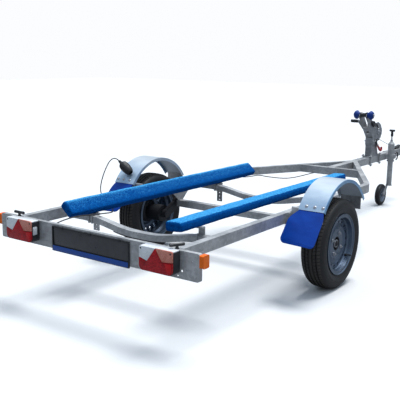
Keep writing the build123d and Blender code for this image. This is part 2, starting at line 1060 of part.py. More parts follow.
def jockey_fork():
    x = jockey_x
    wx = jockey_x - jockey_offset
    wy = jockey_at - jockey_trail
    arm_x = wx + jockey_wheel_width / 2 + 6
    top = rod_z(x, jockey_at, fork_top - 6, fork_top + 2 - fit_gap, jockey_inner + 4)
    arm = plate_yz(
        [
            (jockey_at - 24, fork_top - 2),
            (jockey_at + 20, fork_top - 2),
            (wy + 18, jockey_wheel_radius - 12),
            (wy - 18, jockey_wheel_radius - 12),
            (wy - 18, jockey_wheel_radius + 14),
        ],
        arm_x,
        arm_x + 6,
    )
    pin = rod_x(wx - jockey_wheel_width / 2, arm_x + 3, wy, jockey_wheel_radius, 8)
    return top + arm + pin


def jockey_wheel():
    wx = jockey_x - jockey_offset
    h = jockey_wheel_width / 2
    r = jockey_wheel_radius
    return turned_x(
        [
            (wx - h, 8 + hub_fit),
            (wx - h, 20),
            (wx - 8, 20),
            (wx - 8, 58),
            (wx - h + 4, 60),
            (wx - h, 70),
            (wx - h + 4, r - 8),
            (wx - h + 12, r),
            (wx + h - 12, r),
            (wx + h - 4, r - 8),
            (wx + h, 70),
            (wx + h - 4, 60),
            (wx + 8, 58),
            (wx + 8, 20),
            (wx + h, 20),
            (wx + h, 8 + hub_fit),
        ],
        jockey_at - jockey_trail,
        jockey_wheel_radius,
    )


save("jockey_clamp", jockey_clamp())
save("jockey_tube", jockey_tube())
save("jockey_handle", jockey_handle())
save("jockey_stem", jockey_stem())
save("jockey_fork", jockey_fork())
save("jockey_wheel", jockey_wheel())


# Coupling head and its lever
def coupling():
    half = drawbar_width / 2
    top = frame_top + coupling_plate
    low = frame_top - drawbar_height
    body = box(-half, half, drawbar_end - coupling_lap, drawbar_end, frame_top, top)
    tip = ball_at + head_radius - coupling_plate
    body += plate_yz(
        [(drawbar_end, top), (ball_at, top), (tip, frame_top - 10), (tip, low), (drawbar_end, low)],
        -half,
        half,
    )
    body += Pos(0, board_y + ball_at, low + nose_height / 2) * Cylinder(head_radius, nose_height)
    socket_top = frame_top - socket_below
    body -= Pos(0, board_y + ball_at, socket_top) * Sphere(ball_radius)
    body -= rod_z(0, ball_at, low - 60, socket_top, ball_radius)
    return body


def coupling_handle():
    low = frame_top + coupling_plate
    return plate_yz(
        [
            (ball_at - lever_rear + 20, low),
            (ball_at - lever_front, low),
            (ball_at + lever_front, low + lever_rise),
            (ball_at - lever_rear, low + lever_rise / 2),
        ],
        -lever_half_width,
        lever_half_width,
    )


save("coupling_head", coupling())
save("coupling_handle", coupling_handle())


# Cords: the tubes follow straight runs joined by tangent arcs
def cord_path(points):
    """Wire through a route of (x, y, height against the frame's top), and its radii."""
    route = [Vector(x, board_y + y, frame_top + z) for x, y, z in points]
    edges = []
    radii = []
    start = route[0]
    for before, corner, after in zip(route, route[1:], route[2:]):
        back = (before - corner).normalized()
        ahead = (after - corner).normalized()
        half_turn = math.radians(180 - back.get_angle(ahead)) / 2
        reach = 0.45 * min((before - corner).length, (after - corner).length)
        radius = reach / math.tan(half_turn)
        middle = (back + ahead).normalized() * (radius / math.cos(half_turn) - radius)
        edges.append(Line(start, corner + back * reach))
        edges.append(ThreePointArc(corner + back * reach, corner + middle, corner + ahead * reach))
        start = corner + ahead * reach
        radii.append(round(radius))
    edges.append(Line(start, route[-1]))
    return Wire([edge.edge() for edge in edges]), radii


def cord_tube(name, points, diameter):
    path, radii = cord_path(points)
    section = Plane(origin=path @ 0, z_dir=path % 0) * Circle(diameter / 2)
    tube = sweep(section, path=path)
    expected = math.pi * diameter**2 / 4 * path.length
    print(name, "length", round(path.length), "volume", round(tube.volume / expected, 4), "radii", radii)
    return tube


cable_route = (
    # x, y, height against the frame's top
    (-335, board_sheet, -35),
    (-335, 42, -35),
    (-338, 108, -20),
    (-343, 200, -14),
    (-340, 290, -16),
    (-331, 372, -27),
    (-327, 445, -30),
    (-338, 515, -40),
    (-377, 580, -49),
    (-438, 635, -33),
    (-503, 688, 12),
    (-577, 742, 13),
    (-640, 788, -16),
    (-706, 838, -37),
    (-768, 882, -30),
    (-802, 915, 5),
    (-806, 936, 56),
    (-808, 962, 100),
    (-814, 995, 138),
    (-818, 1026, 166),
    (-806, 1047, 183),
    (-782, 1061, 180),
    (-760, 1062, 162),
)
plug_tail = (-765, 1062, 166)
plug_nose = (-665, 1068, 93)


def light_plug(tube):
    """A round plug on the left mudguard, its cable held in a narrow neck."""
    tail = Vector(plug_tail[0], board_y + plug_tail[1], frame_top + plug_tail[2])
    nose = Vector(plug_nose[0], board_y + plug_nose[1], frame_top + plug_nose[2])
    length = (nose - tail).length
    outline = [
        (0, 0),
        (plug_neck_radius, 0),
        (plug_neck_radius + 2, 20),
        (plug_radius - 3, 34),
        (plug_radius, 42),
        (plug_radius, length - 40),
        (plug_nose_radius, length - 36),
        (plug_nose_radius, length),
        (0, length),
    ]
    face = make_face(Polyline(*[(r, 0, along) for r, along in outline], close=True))
    body = revolve(face, axis=Axis.Z)
    return Plane(origin=tail, z_dir=nose - tail) * body - tube


light_cable = cord_tube("light_cable", cable_route, cable_diameter)
save("light_cable", light_cable)
save("light_plug", light_plug(light_cable))

loom_route = (
    # x, y against the bend, height against the frame's top
    (-528, -153, -37),
    (-502, -119, -43),
    (-491, -58, -58),
    (-485, 27, -70),
    (-459, 88, -66),
    (-430, 143, -62),
    (-406, 188, -76),
    (-375, 248, -88),
    (-334, 326, -102),
    (-293, 404, -107),
    (-247, 492, -97),
    (-200, 580, -81),
    (-151, 671, -69),
    (-101, 760, -64),
    (-66, 831, -57),
    (-44, 875, -46),
    (-26, 897, -33),
)
loom_points = [(x, bend_at + y, z) for x, y, z in loom_route]
loom = cord_tube("loom_cable", loom_points, loom_diameter)
side = frame_width / 2
loom -= box(-side, rail_width - side, 0, bend_at, 0, frame_top)
loom -= box(-drawbar_width / 2, drawbar_width / 2, tie_at, drawbar_end, 0, frame_top)
save("loom_cable", loom)
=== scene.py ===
import json
from math import cos, pi, radians, sin

import bmesh
import bpy
from mathutils import Matrix, Vector
from mathutils import noise as cloud_noise


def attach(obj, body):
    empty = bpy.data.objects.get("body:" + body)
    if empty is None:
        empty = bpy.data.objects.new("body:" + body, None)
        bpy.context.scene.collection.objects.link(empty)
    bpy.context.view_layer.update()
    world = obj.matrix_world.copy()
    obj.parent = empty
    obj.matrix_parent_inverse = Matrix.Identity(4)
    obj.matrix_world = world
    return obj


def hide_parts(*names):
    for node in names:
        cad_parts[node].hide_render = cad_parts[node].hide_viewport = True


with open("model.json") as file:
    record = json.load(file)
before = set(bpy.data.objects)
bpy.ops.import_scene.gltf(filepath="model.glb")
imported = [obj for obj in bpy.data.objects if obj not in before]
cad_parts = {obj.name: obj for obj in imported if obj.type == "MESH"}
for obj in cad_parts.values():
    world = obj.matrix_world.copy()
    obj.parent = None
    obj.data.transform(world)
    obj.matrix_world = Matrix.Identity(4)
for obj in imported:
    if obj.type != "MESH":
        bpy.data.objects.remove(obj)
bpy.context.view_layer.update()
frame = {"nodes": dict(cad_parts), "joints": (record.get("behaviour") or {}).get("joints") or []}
nodes = frame["nodes"]
pivots = {joint["name"]: joint["pos_m"] for joint in frame["joints"] if "pos_m" in joint}


# ---- Camera, floor and light
# The trailer is seen from behind and to its right, from a little above the bunks, on a plain
# pale floor that runs out of sight. One broad soft sun and the pale surroundings light it.
view_turn, view_drop, view_roll = radians(35.658), radians(11.519), radians(0.721)
camera_data = bpy.data.cameras.new("camera")
camera_data.lens, camera_data.sensor_width = 62.62, 36
camera = bpy.data.objects.new("camera", camera_data)
camera.matrix_world = (Matrix.Translation((2.4172, -4.5797, 1.3474)) @ Matrix.Rotation(view_turn, 4, "Z")
                       @ Matrix.Rotation(pi / 2 - view_drop, 4, "X") @ Matrix.Rotation(view_roll, 4, "Z"))
bpy.context.collection.objects.link(camera)
bpy.context.scene.camera = camera
bpy.context.scene.view_settings.view_transform = "Standard"


class Wire:
    """One socket of a node tree. Arithmetic on it adds Math nodes."""

    def __init__(self, tree, socket=None):
        self.tree, self.socket = tree, socket

    def node(self, kind, settings=None, sockets=None, out=0):
        """Adds a node: its settings first, then the values or links of its sockets."""
        made = self.tree.nodes.new("ShaderNode" + kind)
        for name, value in (settings or {}).items():
            setattr(made, name, value)
        for name, value in (sockets or {}).items():
            if isinstance(value, Wire):
                self.tree.links.new(value.socket, made.inputs[name])
            elif isinstance(value, tuple) and made.inputs[name].type == "RGBA":
                made.inputs[name].default_value = (*value, 1)
            else:
                made.inputs[name].default_value = value
        return Wire(self.tree, made.outputs[out] if made.outputs else None)

    def maths(self, operation, first, second=0.0):
        return self.node("Math", {"operation": operation}, {0: first, 1: second})

    def __add__(self, other):
        return self.maths("ADD", self, other)

    def __sub__(self, other):
        return self.maths("SUBTRACT", self, other)

    def __mul__(self, other):
        return self.maths("MULTIPLY", self, other)

    def __pow__(self, other):
        return self.maths("POWER", self, other)

    def __lt__(self, other):
        return self.maths("LESS_THAN", self, other)

    def __gt__(self, other):
        return self.maths("GREATER_THAN", self, other)

    def __abs__(self):
        return self.maths("ABSOLUTE", self)

    def ramp(self, low, high):
        """0 below low, 1 above high, smooth between."""
        return self.node("MapRange", {"interpolation_type": "SMOOTHSTEP"}, {0: self, 1: low, 2: high})

    def tint(self, dark, light):
        """Goes from one colour to another as this value goes from 0 to 1."""
        return self.node("Mix", {"data_type": "RGBA"}, {0: self, 6: dark, 7: light}, 2)


def start_material(name):
    """An empty material, and the wire that its nodes are added through."""
    material = bpy.data.materials.new(name)
    material.use_nodes = True
    material.node_tree.nodes.clear()
    return material, Wire(material.node_tree)


def object_place(wire, size=(1, 1, 1)):
    """A point's place on the piece, scaled along each axis."""
    point = wire.node("TexCoord", out=3)
    return wire.node("Mapping", None, {0: point, 3: size})


def noise(wire, point, scale, detail=3.0, rough=0.5):
    """Cloudy noise from 0 to 1."""
    return wire.node("TexNoise", None, {"Vector": point, "Scale": scale, "Detail": detail, "Roughness": rough})


def close_material(wire, sockets, height=None, bump=0.3, depth=0.001):
    """Ends a material in its shader, with the height as a bump where one is given."""
    if height is not None:
        sockets["Normal"] = wire.node("Bump", None, {"Strength": bump, "Distance": depth, "Height": height})
    shader = wire.node("BsdfPrincipled", None, sockets)
    wire.node("OutputMaterial", None, {0: shader})


floor_material, wire = start_material("floor_pale")
pale = noise(wire, object_place(wire), 1.5).tint((0.69, 0.695, 0.70), (0.73, 0.73, 0.735))
watched = wire.node("LightPath", out=0)
close_material(wire, {"Base Color": watched.tint((0.19, 0.20, 0.215), pale), "Roughness": 0.9})
bpy.ops.object.select_all(action="DESELECT")
bpy.ops.mesh.primitive_plane_add(size=60)
floor = bpy.context.object
floor.name = "floor"
floor.data.materials.append(floor_material)

world = bpy.data.worlds.new("surroundings")
bpy.context.scene.world = world
world.use_nodes = True
world.node_tree.nodes.clear()
wire = Wire(world.node_tree)
height = wire.node("SeparateXYZ", None, {0: wire.node("TexCoord", out=0)}, 2)
tone = height.ramp(0.0, 0.9).tint((0.055, 0.07, 0.09), (0.70, 0.84, 1.0))
sky = wire.node("Background", None, {"Color": tone, "Strength": 0.9})
backdrop = wire.node("Background", None, {"Color": (0.97, 0.98, 1.0), "Strength": 1.0})
seen = wire.node("LightPath", out=0) + wire.node("LightPath", out=3) * 0.12
wire.node("OutputWorld", None, {0: wire.node("MixShader", None, {0: seen, 1: sky, 2: backdrop})})

for name, turn, lean, strength, softness in (("sun_high", 160, 15, 3.3, 26), ("fill_rear", 20, 68, 0.10, 60)):
    lamp_data = bpy.data.lights.new(name, "SUN")
    lamp_data.energy, lamp_data.angle = strength, radians(softness)
    lamp_object = bpy.data.objects.new(name, lamp_data)
    lamp_object.matrix_world = Matrix.Rotation(radians(turn), 4, "Z") @ Matrix.Rotation(radians(lean), 4, "X")
    bpy.context.collection.objects.link(lamp_object)


# ---- Light cable and its plug
# A thin black cable runs from a grommet behind the light board, over the rear cross-member and
# the left rail, and up to a round black plug that rests on the left mudguard.
def cord_line(name, points, radius):
    """An open smooth line with a round section, on the route's control points."""
    line = bpy.data.curves.new(name, "CURVE")
    line.dimensions, line.bevel_depth, line.bevel_resolution, line.resolution_u = "3D", radius, 3, 8
    line.use_fill_caps = True
    spline = line.splines.new("NURBS")
    spline.points.add(len(points) - 1)
    for spot, place in zip(spline.points, points):
        spot.co = (*place, 1)
    spline.order_u = 3
    spline.use_endpoint_u = True
    piece = bpy.data.objects.new(name, line)
    bpy.context.collection.objects.link(piece)
    return piece


def lone_point(name, place):
    """A new piece of a single point, ready to be drawn on."""
    bpy.ops.object.select_all(action="DESELECT")
    bpy.ops.mesh.primitive_plane_add(size=0.01, location=(0, 0, 0))
    piece = bpy.context.object
    piece.name = name
    bpy.ops.object.mode_set(mode="EDIT")
    bpy.ops.mesh.select_mode(type="VERT")
    bpy.ops.mesh.merge(type="CENTER")
    bpy.ops.transform.translate(value=place)
    return piece


def draw_on(path):
    """Extrudes the chosen point from place to place."""
    for here, there in zip(path, path[1:]):
        bpy.ops.mesh.extrude_region_move(TRANSFORM_OT_translate={"value": Vector(there) - Vector(here)})


def turned(name, profile, place=Matrix(), steps=40):
    """A profile of (along, radius) drawn point by point, spun about X and moved to its place."""
    path = [(along, 0, radius) for along, radius in profile]
    piece = lone_point(name, path[0])
    draw_on(path)
    bpy.ops.mesh.select_all(action="SELECT")
    bpy.ops.mesh.spin(steps=steps, angle=2 * pi, center=(0, 0, 0), axis=(1, 0, 0))
    bpy.ops.mesh.select_all(action="SELECT")
    bpy.ops.mesh.remove_doubles(threshold=0.00002)
    bpy.ops.mesh.normals_make_consistent(inside=False)
    bpy.ops.object.mode_set(mode="OBJECT")
    piece.data.transform(place)
    return piece


def aimed(place, way):
    """Where a piece made along X lies when it starts at a place and points one way."""
    return Matrix.Translation(place) @ Vector(way).to_track_quat("X", "Z").to_matrix().to_4x4()


def lying(start, end):
    """Where a piece made along X lies when it runs from one place towards another."""
    return aimed(start, Vector(end) - Vector(start))


def set_out(name, model, places):
    """Copies of a made piece at each place, joined into one."""
    bpy.ops.object.select_all(action="DESELECT")
    for place in places:
        one = model.copy()
        one.data = model.data.copy()
        one.data.transform(place)
        bpy.context.collection.objects.link(one)
        one.select_set(True)
        bpy.context.view_layer.objects.active = one
    bpy.ops.object.join()
    joined = bpy.context.object
    joined.name = name
    return joined


def fit_out(piece, material, body="frame", bevel=0.0, smooth=35):
    """Bevels a piece's edges, applies its modifiers and place, finishes it and sets it on its body."""
    bpy.ops.object.select_all(action="DESELECT")
    piece.select_set(True)
    bpy.context.view_layer.objects.active = piece
    if bevel:
        edge = piece.modifiers.new("edge", "BEVEL")
        edge.width, edge.segments, edge.limit_method = bevel, 2, "ANGLE"
        bpy.ops.object.modifier_apply(modifier="edge")
    bpy.ops.object.transform_apply(location=True, rotation=True, scale=True)
    bpy.ops.object.shade_smooth_by_angle(angle=radians(smooth))
    piece.data.materials.clear()
    piece.data.materials.append(material)
    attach(piece, body)
    return piece


rubber, wire = start_material("cable_rubber")
point = object_place(wire)
wear_and_lit_top = noise(wire, point, 60.0)
close_material(wire, {"Base Color": wear_and_lit_top.tint((0.008, 0.008, 0.009), (0.022, 0.022, 0.024)),
                      "Roughness": wear_and_lit_top * 0.2 + 0.38}, noise(wire, point, 500.0), 0.2, 0.0002)

plug_lies = lying((-0.765, -1.093, 0.656), (-0.665, -1.087, 0.583))
plug_line = [(0, 0), (0, 0.0075), (0.004, 0.0095), (0.008, 0.0085), (0.012, 0.0105), (0.016, 0.0095),
             (0.021, 0.0125), (0.026, 0.0185), (0.032, 0.0255), (0.040, 0.0300), (0.050, 0.0316), (0.085, 0.0316),
             (0.100, 0.0296), (0.112, 0.0252), (0.120, 0.0220), (0.1235, 0.0180), (0.1235, 0.0165),
             (0.108, 0.016), (0.108, 0)]
plug = turned("light_plug_shell", plug_line, plug_lies)
fit_out(plug, rubber)
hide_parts("light_plug")
rib_count = 16
bpy.ops.object.select_all(action="DESELECT")
bpy.ops.mesh.primitive_cube_add(size=1, location=(0.067, 0, 0.0314), scale=(0.030, 0.0040, 0.0024))
bpy.ops.object.transform_apply(location=True, rotation=True, scale=True)
rib = bpy.context.object
plug_ribs = set_out("light_plug_ribs", rib, [plug_lies @ Matrix.Rotation(2 * pi * k / rib_count, 4, "X")
                                             for k in range(rib_count)])
bpy.data.objects.remove(rib)
fit_out(plug_ribs, rubber, bevel=0.0006)


def black_cable(name, route, node):
    """A cable along its route, in place of its CAD node."""
    cable = cord_line(name, route, 0.0035)
    cable.data.materials.append(rubber)
    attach(cable, "frame")
    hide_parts(node)
    return cable


cable_route = [
    (-0.335, -2.153, 0.455), (-0.335, -2.113, 0.455), (-0.338, -2.047, 0.470), (-0.343, -1.955, 0.476),
    (-0.340, -1.865, 0.474), (-0.331, -1.783, 0.463), (-0.327, -1.710, 0.460), (-0.338, -1.640, 0.450),
    (-0.377, -1.575, 0.441), (-0.438, -1.520, 0.457), (-0.503, -1.467, 0.502), (-0.577, -1.413, 0.503),
    (-0.640, -1.367, 0.474), (-0.706, -1.317, 0.453), (-0.768, -1.273, 0.460), (-0.802, -1.240, 0.495),
    (-0.806, -1.219, 0.546), (-0.808, -1.193, 0.590), (-0.814, -1.160, 0.628), (-0.818, -1.129, 0.656),
    (-0.806, -1.108, 0.673), (-0.782, -1.094, 0.670), (-0.760, -1.093, 0.652)]
cable = black_cable("light_cable_run", cable_route, "light_cable")
grommet_line = [(0, 0.0038), (0, 0.011), (0.003, 0.011), (0.006, 0.0075), (0.024, 0.0055), (0.026, 0.0048),
                (0.026, 0.0038)]
grommet = turned("cable_grommet", grommet_line, lying(cable_route[0], cable_route[1]), 24)
fit_out(grommet, rubber)


# ---- Loom on the left rail
# A second black cable leaves the left rail, hangs below its bent part and goes into the side of
# the drawbar.
loom_route = [
    (-0.528, -0.0841, 0.453), (-0.502, -0.0501, 0.447), (-0.491, 0.0109, 0.432), (-0.485, 0.0959, 0.420),
    (-0.459, 0.1569, 0.424), (-0.430, 0.2119, 0.428), (-0.406, 0.2569, 0.414), (-0.375, 0.3169, 0.402),
    (-0.334, 0.3949, 0.388), (-0.293, 0.4729, 0.383), (-0.247, 0.5609, 0.393), (-0.200, 0.6489, 0.409),
    (-0.151, 0.7399, 0.421), (-0.101, 0.8289, 0.426), (-0.066, 0.8999, 0.433), (-0.044, 0.9439, 0.444),
    (-0.026, 0.9659, 0.457)]
loom = black_cable("loom_cable_run", loom_route, "loom_cable")


# ---- Frame of galvanised tube
# Two square-cut rails run forward from the light board, bend in to the drawbar and are joined by
# a tie and two bowed cross-members. All of it is welded steel, dipped in zinc after welding.
def zinc(name, dark, light, metal, rough):
    """Galvanised steel: crystals of zinc, cloudy patches and a fine tooth."""
    material, wire = start_material(name)
    point = object_place(wire)
    crystal = wire.node("TexVoronoi", None, {"Vector": point, "Scale": 70.0}, 1)
    crystal = wire.node("SeparateXYZ", None, {0: crystal}, 0)
    cloud = noise(wire, point, 6.0, 5.0)
    streak = noise(wire, object_place(wire, (14, 14, 60)), 1.0, 3.0)
    fine = noise(wire, point, 170.0, 2.0)
    shade = (cloud * 0.62 + crystal * 0.16 + streak * 0.22).ramp(0.3, 0.7)
    close_material(wire, {"Base Color": shade.tint(dark, light), "Metallic": metal,
                          "Roughness": cloud * 0.2 + fine * 0.1 + rough}, fine * 0.7 + crystal * 0.12, 0.18, 0.0005)
    return material


def finish_nodes(material, *names):
    """Gives CAD nodes a finish. A name that ends in _ stands for the pair or group that starts with it."""
    for name, node in nodes.items():
        if any(name == wanted or (wanted.endswith("_") and name.startswith(wanted)) for wanted in names):
            node.data.materials.clear()
            node.data.materials.append(material)


galvanised = zinc("galvanised_steel", (0.36, 0.365, 0.37), (0.60, 0.605, 0.61), 0.42, 0.24)
finish_nodes(galvanised, "rail_", "front_tie", "drawbar", "cross_member_", "axle_beam", "guard_bracket_",
             "bunk_post_", "light_board", "jockey_tube", "jockey_stem", "jockey_clamp")


def at_x(x, spots):
    """Places at one x, from their (y, z)."""
    return [(x, y, z) for y, z in spots]


def rectangle(y, left, right, low, high):
    """An upright rectangle's corners at one y, from its lower left one round."""
    return [(left, y, low), (right, y, low), (right, y, high), (left, y, high)]


def cut_plate(name, corners, depth, rounded=()):
    """A flat outline drawn point by point and filled, some corners rounded, then given its thickness."""
    piece = lone_point(name, corners[0])
    draw_on([*corners, corners[0]])
    bpy.ops.mesh.select_all(action="SELECT")
    bpy.ops.mesh.remove_doubles(threshold=0.00001)
    bpy.ops.mesh.edge_face_add()
    for spots, size in rounded:
        bpy.ops.mesh.select_mode(type="VERT")
        bpy.ops.mesh.select_all(action="DESELECT")
        shape = bmesh.from_edit_mesh(piece.data)
        for vertex in shape.verts:
            vertex.select_set(any((vertex.co - Vector(corners[k])).length < 0.00005 for k in spots))
        bmesh.update_edit_mesh(piece.data)
        bpy.ops.mesh.bevel(offset=size, segments=6, affect="VERTICES")
    bpy.ops.mesh.select_mode(type="FACE")
    bpy.ops.mesh.select_all(action="SELECT")
    bpy.ops.mesh.extrude_region_move(TRANSFORM_OT_translate={"value": depth})
    bpy.ops.mesh.select_all(action="SELECT")
    bpy.ops.mesh.normals_make_consistent(inside=False)
    bpy.ops.object.mode_set(mode="OBJECT")
    return piece


def round_rod(name, points, radius, material=galvanised):
    """A rod bent along a smooth line, made a mesh."""
    piece = cord_line(name, points, radius)
    bpy.ops.object.select_all(action="DESELECT")
    piece.select_set(True)
    bpy.context.view_layer.objects.active = piece
    bpy.ops.object.convert(target="MESH")
    return fit_out(piece, material, smooth=60)


def join_all(name, pieces):
    """Made pieces joined into one, in place."""
    bpy.ops.object.select_all(action="DESELECT")
    for piece in pieces:
        piece.select_set(True)
    bpy.context.view_layer.objects.active = pieces[0]
    bpy.ops.object.join()
    pieces[0].name = name
    return pieces[0]


def hex_head(size):
    """A hexagon nut on a washer with the bolt's end through it, standing up X from the origin."""
    bpy.ops.object.select_all(action="DESELECT")
    bpy.ops.mesh.primitive_cylinder_add(vertices=6, radius=size, depth=size * 0.85,
                                        location=(size * 0.6, 0, 0), rotation=(0, pi / 2, 0))
    nut = bpy.context.object
    bpy.ops.object.transform_apply(location=True, rotation=True, scale=True)
    bpy.ops.object.mode_set(mode="EDIT")
    bpy.ops.mesh.select_mode(type="FACE")
    bpy.ops.mesh.select_all(action="DESELECT")
    shape = bmesh.from_edit_mesh(nut.data)
    for face in shape.faces:
        face.select_set(face.normal.x > 0.9)
    bmesh.update_edit_mesh(nut.data)
    bpy.ops.mesh.inset(thickness=size * 0.16, depth=size * 0.09)
    bpy.ops.object.mode_set(mode="OBJECT")
    washer = turned("washer", [(0, 0), (0, size * 1.35), (size * 0.12, size * 1.4), (size * 0.18, size * 1.32),
                               (size * 0.18, 0)], steps=20)
    end = turned("end", [(size, 0), (size, size * 0.5), (size * 1.45, size * 0.5), (size * 1.55, size * 0.42),
                         (size * 1.55, 0)], steps=14)
    return join_all("hex_head", [nut, washer, end])


nut = hex_head(0.0075)
strip_rear, strip_height, strip_depth = -1.768, 0.3715, 0.038
strip_rise = ((-0.20, 0.0166), (-0.15, 0.0083), (-0.10, 0.0028), (-0.04, 0), (0.04, 0), (0.11, 0.0036))
strip_top = [(x, strip_rear, strip_height + rise) for x, rise in strip_rise]
strip_under = [(x, y, z - 0.008) for x, y, z in reversed(strip_top)]
keel_strip = cut_plate("keel_strip", strip_top + strip_under, (0, strip_depth, 0))
fit_out(keel_strip, rubber, bevel=0.0015)


def u_bolt(name, x, member_rear, ends, top, low, top_bend=0.01, low_bend=0.01):
    """A bolt bent round the rear of a cross-member, with both ends pointing forward."""
    rear = member_rear - 0.0045
    round_rod(name, at_x(x, [(ends, top), (member_rear + 0.006, top), (rear, top), (rear, top - top_bend),
                             (rear, low + low_bend), (rear, low), (member_rear + 0.006, low), (ends, low)]), 0.004)


bow_start, bow_radius = 0.428, 0.84
right_top, right_low = 0.461, 0.4105
clamp_nuts = []
for row, member_rear in (("rear", -1.7705), ("front", -0.493)):
    strap_face, plate_face = member_rear + 0.053, member_rear + 0.045
    for letter, x in (("a", -0.385), ("b", -0.363)):
        drop = (bow_start + x) ** 2 / (2 * bow_radius)
        top, low = 0.4565 - drop, 0.411 - drop
        u_bolt(f"u_bolt_{row}_{letter}_left", x, member_rear, strap_face + 0.014, top, low)
        clamp_nuts += [aimed((x, strap_face, z), (0, 1, 0)) for z in (top, low)]
    for k, x in enumerate((0.386, 0.492)):
        u_bolt(f"u_bolt_{row}_{k}_right", x, member_rear, plate_face + 0.02, right_top, right_low, 0.009, 0.0095)
        clamp_nuts += [aimed((x, plate_face + 0.004, z), (0, 1, 0)) for z in (right_top, right_low)]
        plate = cut_plate(f"clamp_plate_{row}_{k}", rectangle(plate_face, x - 0.013, x + 0.013, 0.402, 0.470),
                          (0, 0.004, 0))
        fit_out(plate, galvanised, bevel=0.001)
fit_out(set_out("clamp_nuts", nut, clamp_nuts), galvanised, smooth=30)


# ---- Axle, arms and hubs
# A square beam holds rubber springs that carry two black trailing arms. Its hangers are bolted
# up to the rails, and the hubs are dark cast iron.
iron, wire = start_material("dark_iron")
cast = noise(wire, object_place(wire), 120.0)
close_material(wire, {"Base Color": cast.tint((0.018, 0.019, 0.022), (0.045, 0.047, 0.052)), "Metallic": 0.4,
                      "Roughness": cast * 0.15 + 0.42}, cast, 0.3, 0.0006)
finish_nodes(iron, "trailing_arm_", "hub_")
hanger_x, hanger_y, hanger_low = 0.5515, -0.712, 0.424
hanger_bolts = [aimed((side * hanger_x, hanger_y + reach, hanger_low), (0, 0, -1))
                for side in (-1, 1) for reach in (-0.088, -0.045, 0.045, 0.088)]
fit_out(set_out("hanger_bolts", nut, hanger_bolts), galvanised, smooth=30)


# ---- Wheels
# Each wheel is a pressed steel disc in a steel rim, painted blue-grey, with a ring of vents, four
# bolts, a bright ring and a dark cap on its hub, and a 155/70 R13 tyre with four grooves round its
# tread and fine cuts across it.
def coordinates(wire):
    """A point's x, y and z."""
    parts = wire.node("SeparateXYZ", None, {0: wire.node("TexCoord", out=3)})
    return [Wire(wire.tree, part) for part in parts.socket.node.outputs]


def facing(side, place):
    """Where a piece made for the right side lies: moved to its place, and turned round on the left."""
    return Matrix.Translation(place) @ Matrix.Rotation(0 if side > 0 else pi, 4, "Z")


wheel_x, axle_y, axle_z = pivots["wheel_right_spin"]
tyre_rubber, wire = start_material("tyre_rubber")
sideways, forward, upward = coordinates(wire)
across, forward, upward = abs(sideways) - wheel_x, forward - axle_y, upward - axle_z
reach = (forward * forward + upward * upward) ** 0.5
turn = wire.maths("ARCTAN2", upward, forward)
on_tread = reach.ramp(0.2635, 0.2665)
cut_count = 78
cuts = wire.maths("FRACT", turn * (cut_count / (2 * pi)) + abs(across) * 9.0 + 40.0).ramp(0.74, 0.80)
cuts = cuts * (abs(across) > 0.016)
rings = wire.maths("SINE", reach * 900.0).ramp(0.2, 0.9) * (reach < 0.232) * (reach > 0.206)
dust = noise(wire, wire.node("TexCoord", out=3), 14.0, 4.0)
# The fine cuts are painted darker in the tread's colour, painted shade in them, besides their bump.
tread = (dust * 0.6 + 0.25 - cuts * on_tread * 0.5).tint((0.006, 0.006, 0.006), (0.105, 0.092, 0.080))
wall = dust.tint((0.007, 0.007, 0.0075), (0.020, 0.020, 0.021))
close_material(wire, {"Base Color": on_tread.tint(wall, tread), "Roughness": on_tread * 0.25 + dust * 0.15 + 0.40},
               rings * 0.4 - cuts * on_tread, 0.6, 0.0015)

tyre_radius, groove_depth = axle_z, 0.0075
tread_edge = (0.0545, 0.2670)
tread_line = [(-tread_edge[0], tread_edge[1])]
for groove in (-0.0345, -0.0118, 0.0118, 0.0345):
    crown = tyre_radius - 1.45 * groove ** 2
    tread_line += [(groove - 0.0052, crown), (groove - 0.0042, crown - groove_depth),
                   (groove + 0.0042, crown - groove_depth), (groove + 0.0052, crown)]
flank = [(0.061, 0.2625), (0.0665, 0.2565), (0.0705, 0.2495), (0.0735, 0.2405), (0.0748, 0.2310), (0.0744, 0.2235),
         (0.0752, 0.2225), (0.0752, 0.2200), (0.0738, 0.2190), (0.0722, 0.2110), (0.0695, 0.2010), (0.0665, 0.1935),
         (0.0650, 0.1880), (0.0628, 0.1845), (0.0615, 0.1700), (0.0600, 0.1655)]
lining = [(0.0540, 0.1720), (0.0590, 0.2000), (0.0640, 0.2300), (0.0560, 0.2560), (0.0, 0.2610), (-0.0560, 0.2560),
          (-0.0640, 0.2300), (-0.0590, 0.2000), (-0.0540, 0.1720)]
tyre_line = [*tread_line, tread_edge, *flank, *lining, *[(-x, r) for x, r in reversed(flank)], tread_line[0]]

rim_paint, wire = start_material("rim_paint")
point = object_place(wire)
flake = noise(wire, point, 380.0)
grime = noise(wire, point, 12.0, 4.0)
close_material(wire, {"Base Color": (flake * 0.4 + grime * 0.6).tint((0.055, 0.085, 0.135), (0.15, 0.20, 0.28)),
                      "Metallic": 0.6, "Roughness": grime * 0.15 + 0.24, "Coat Weight": 0.3}, flake, 0.05, 0.0003)
finish_nodes(rim_paint, "rim_")
bright_zinc = zinc("bright_zinc", (0.36, 0.37, 0.39), (0.56, 0.57, 0.60), 0.75, 0.18)

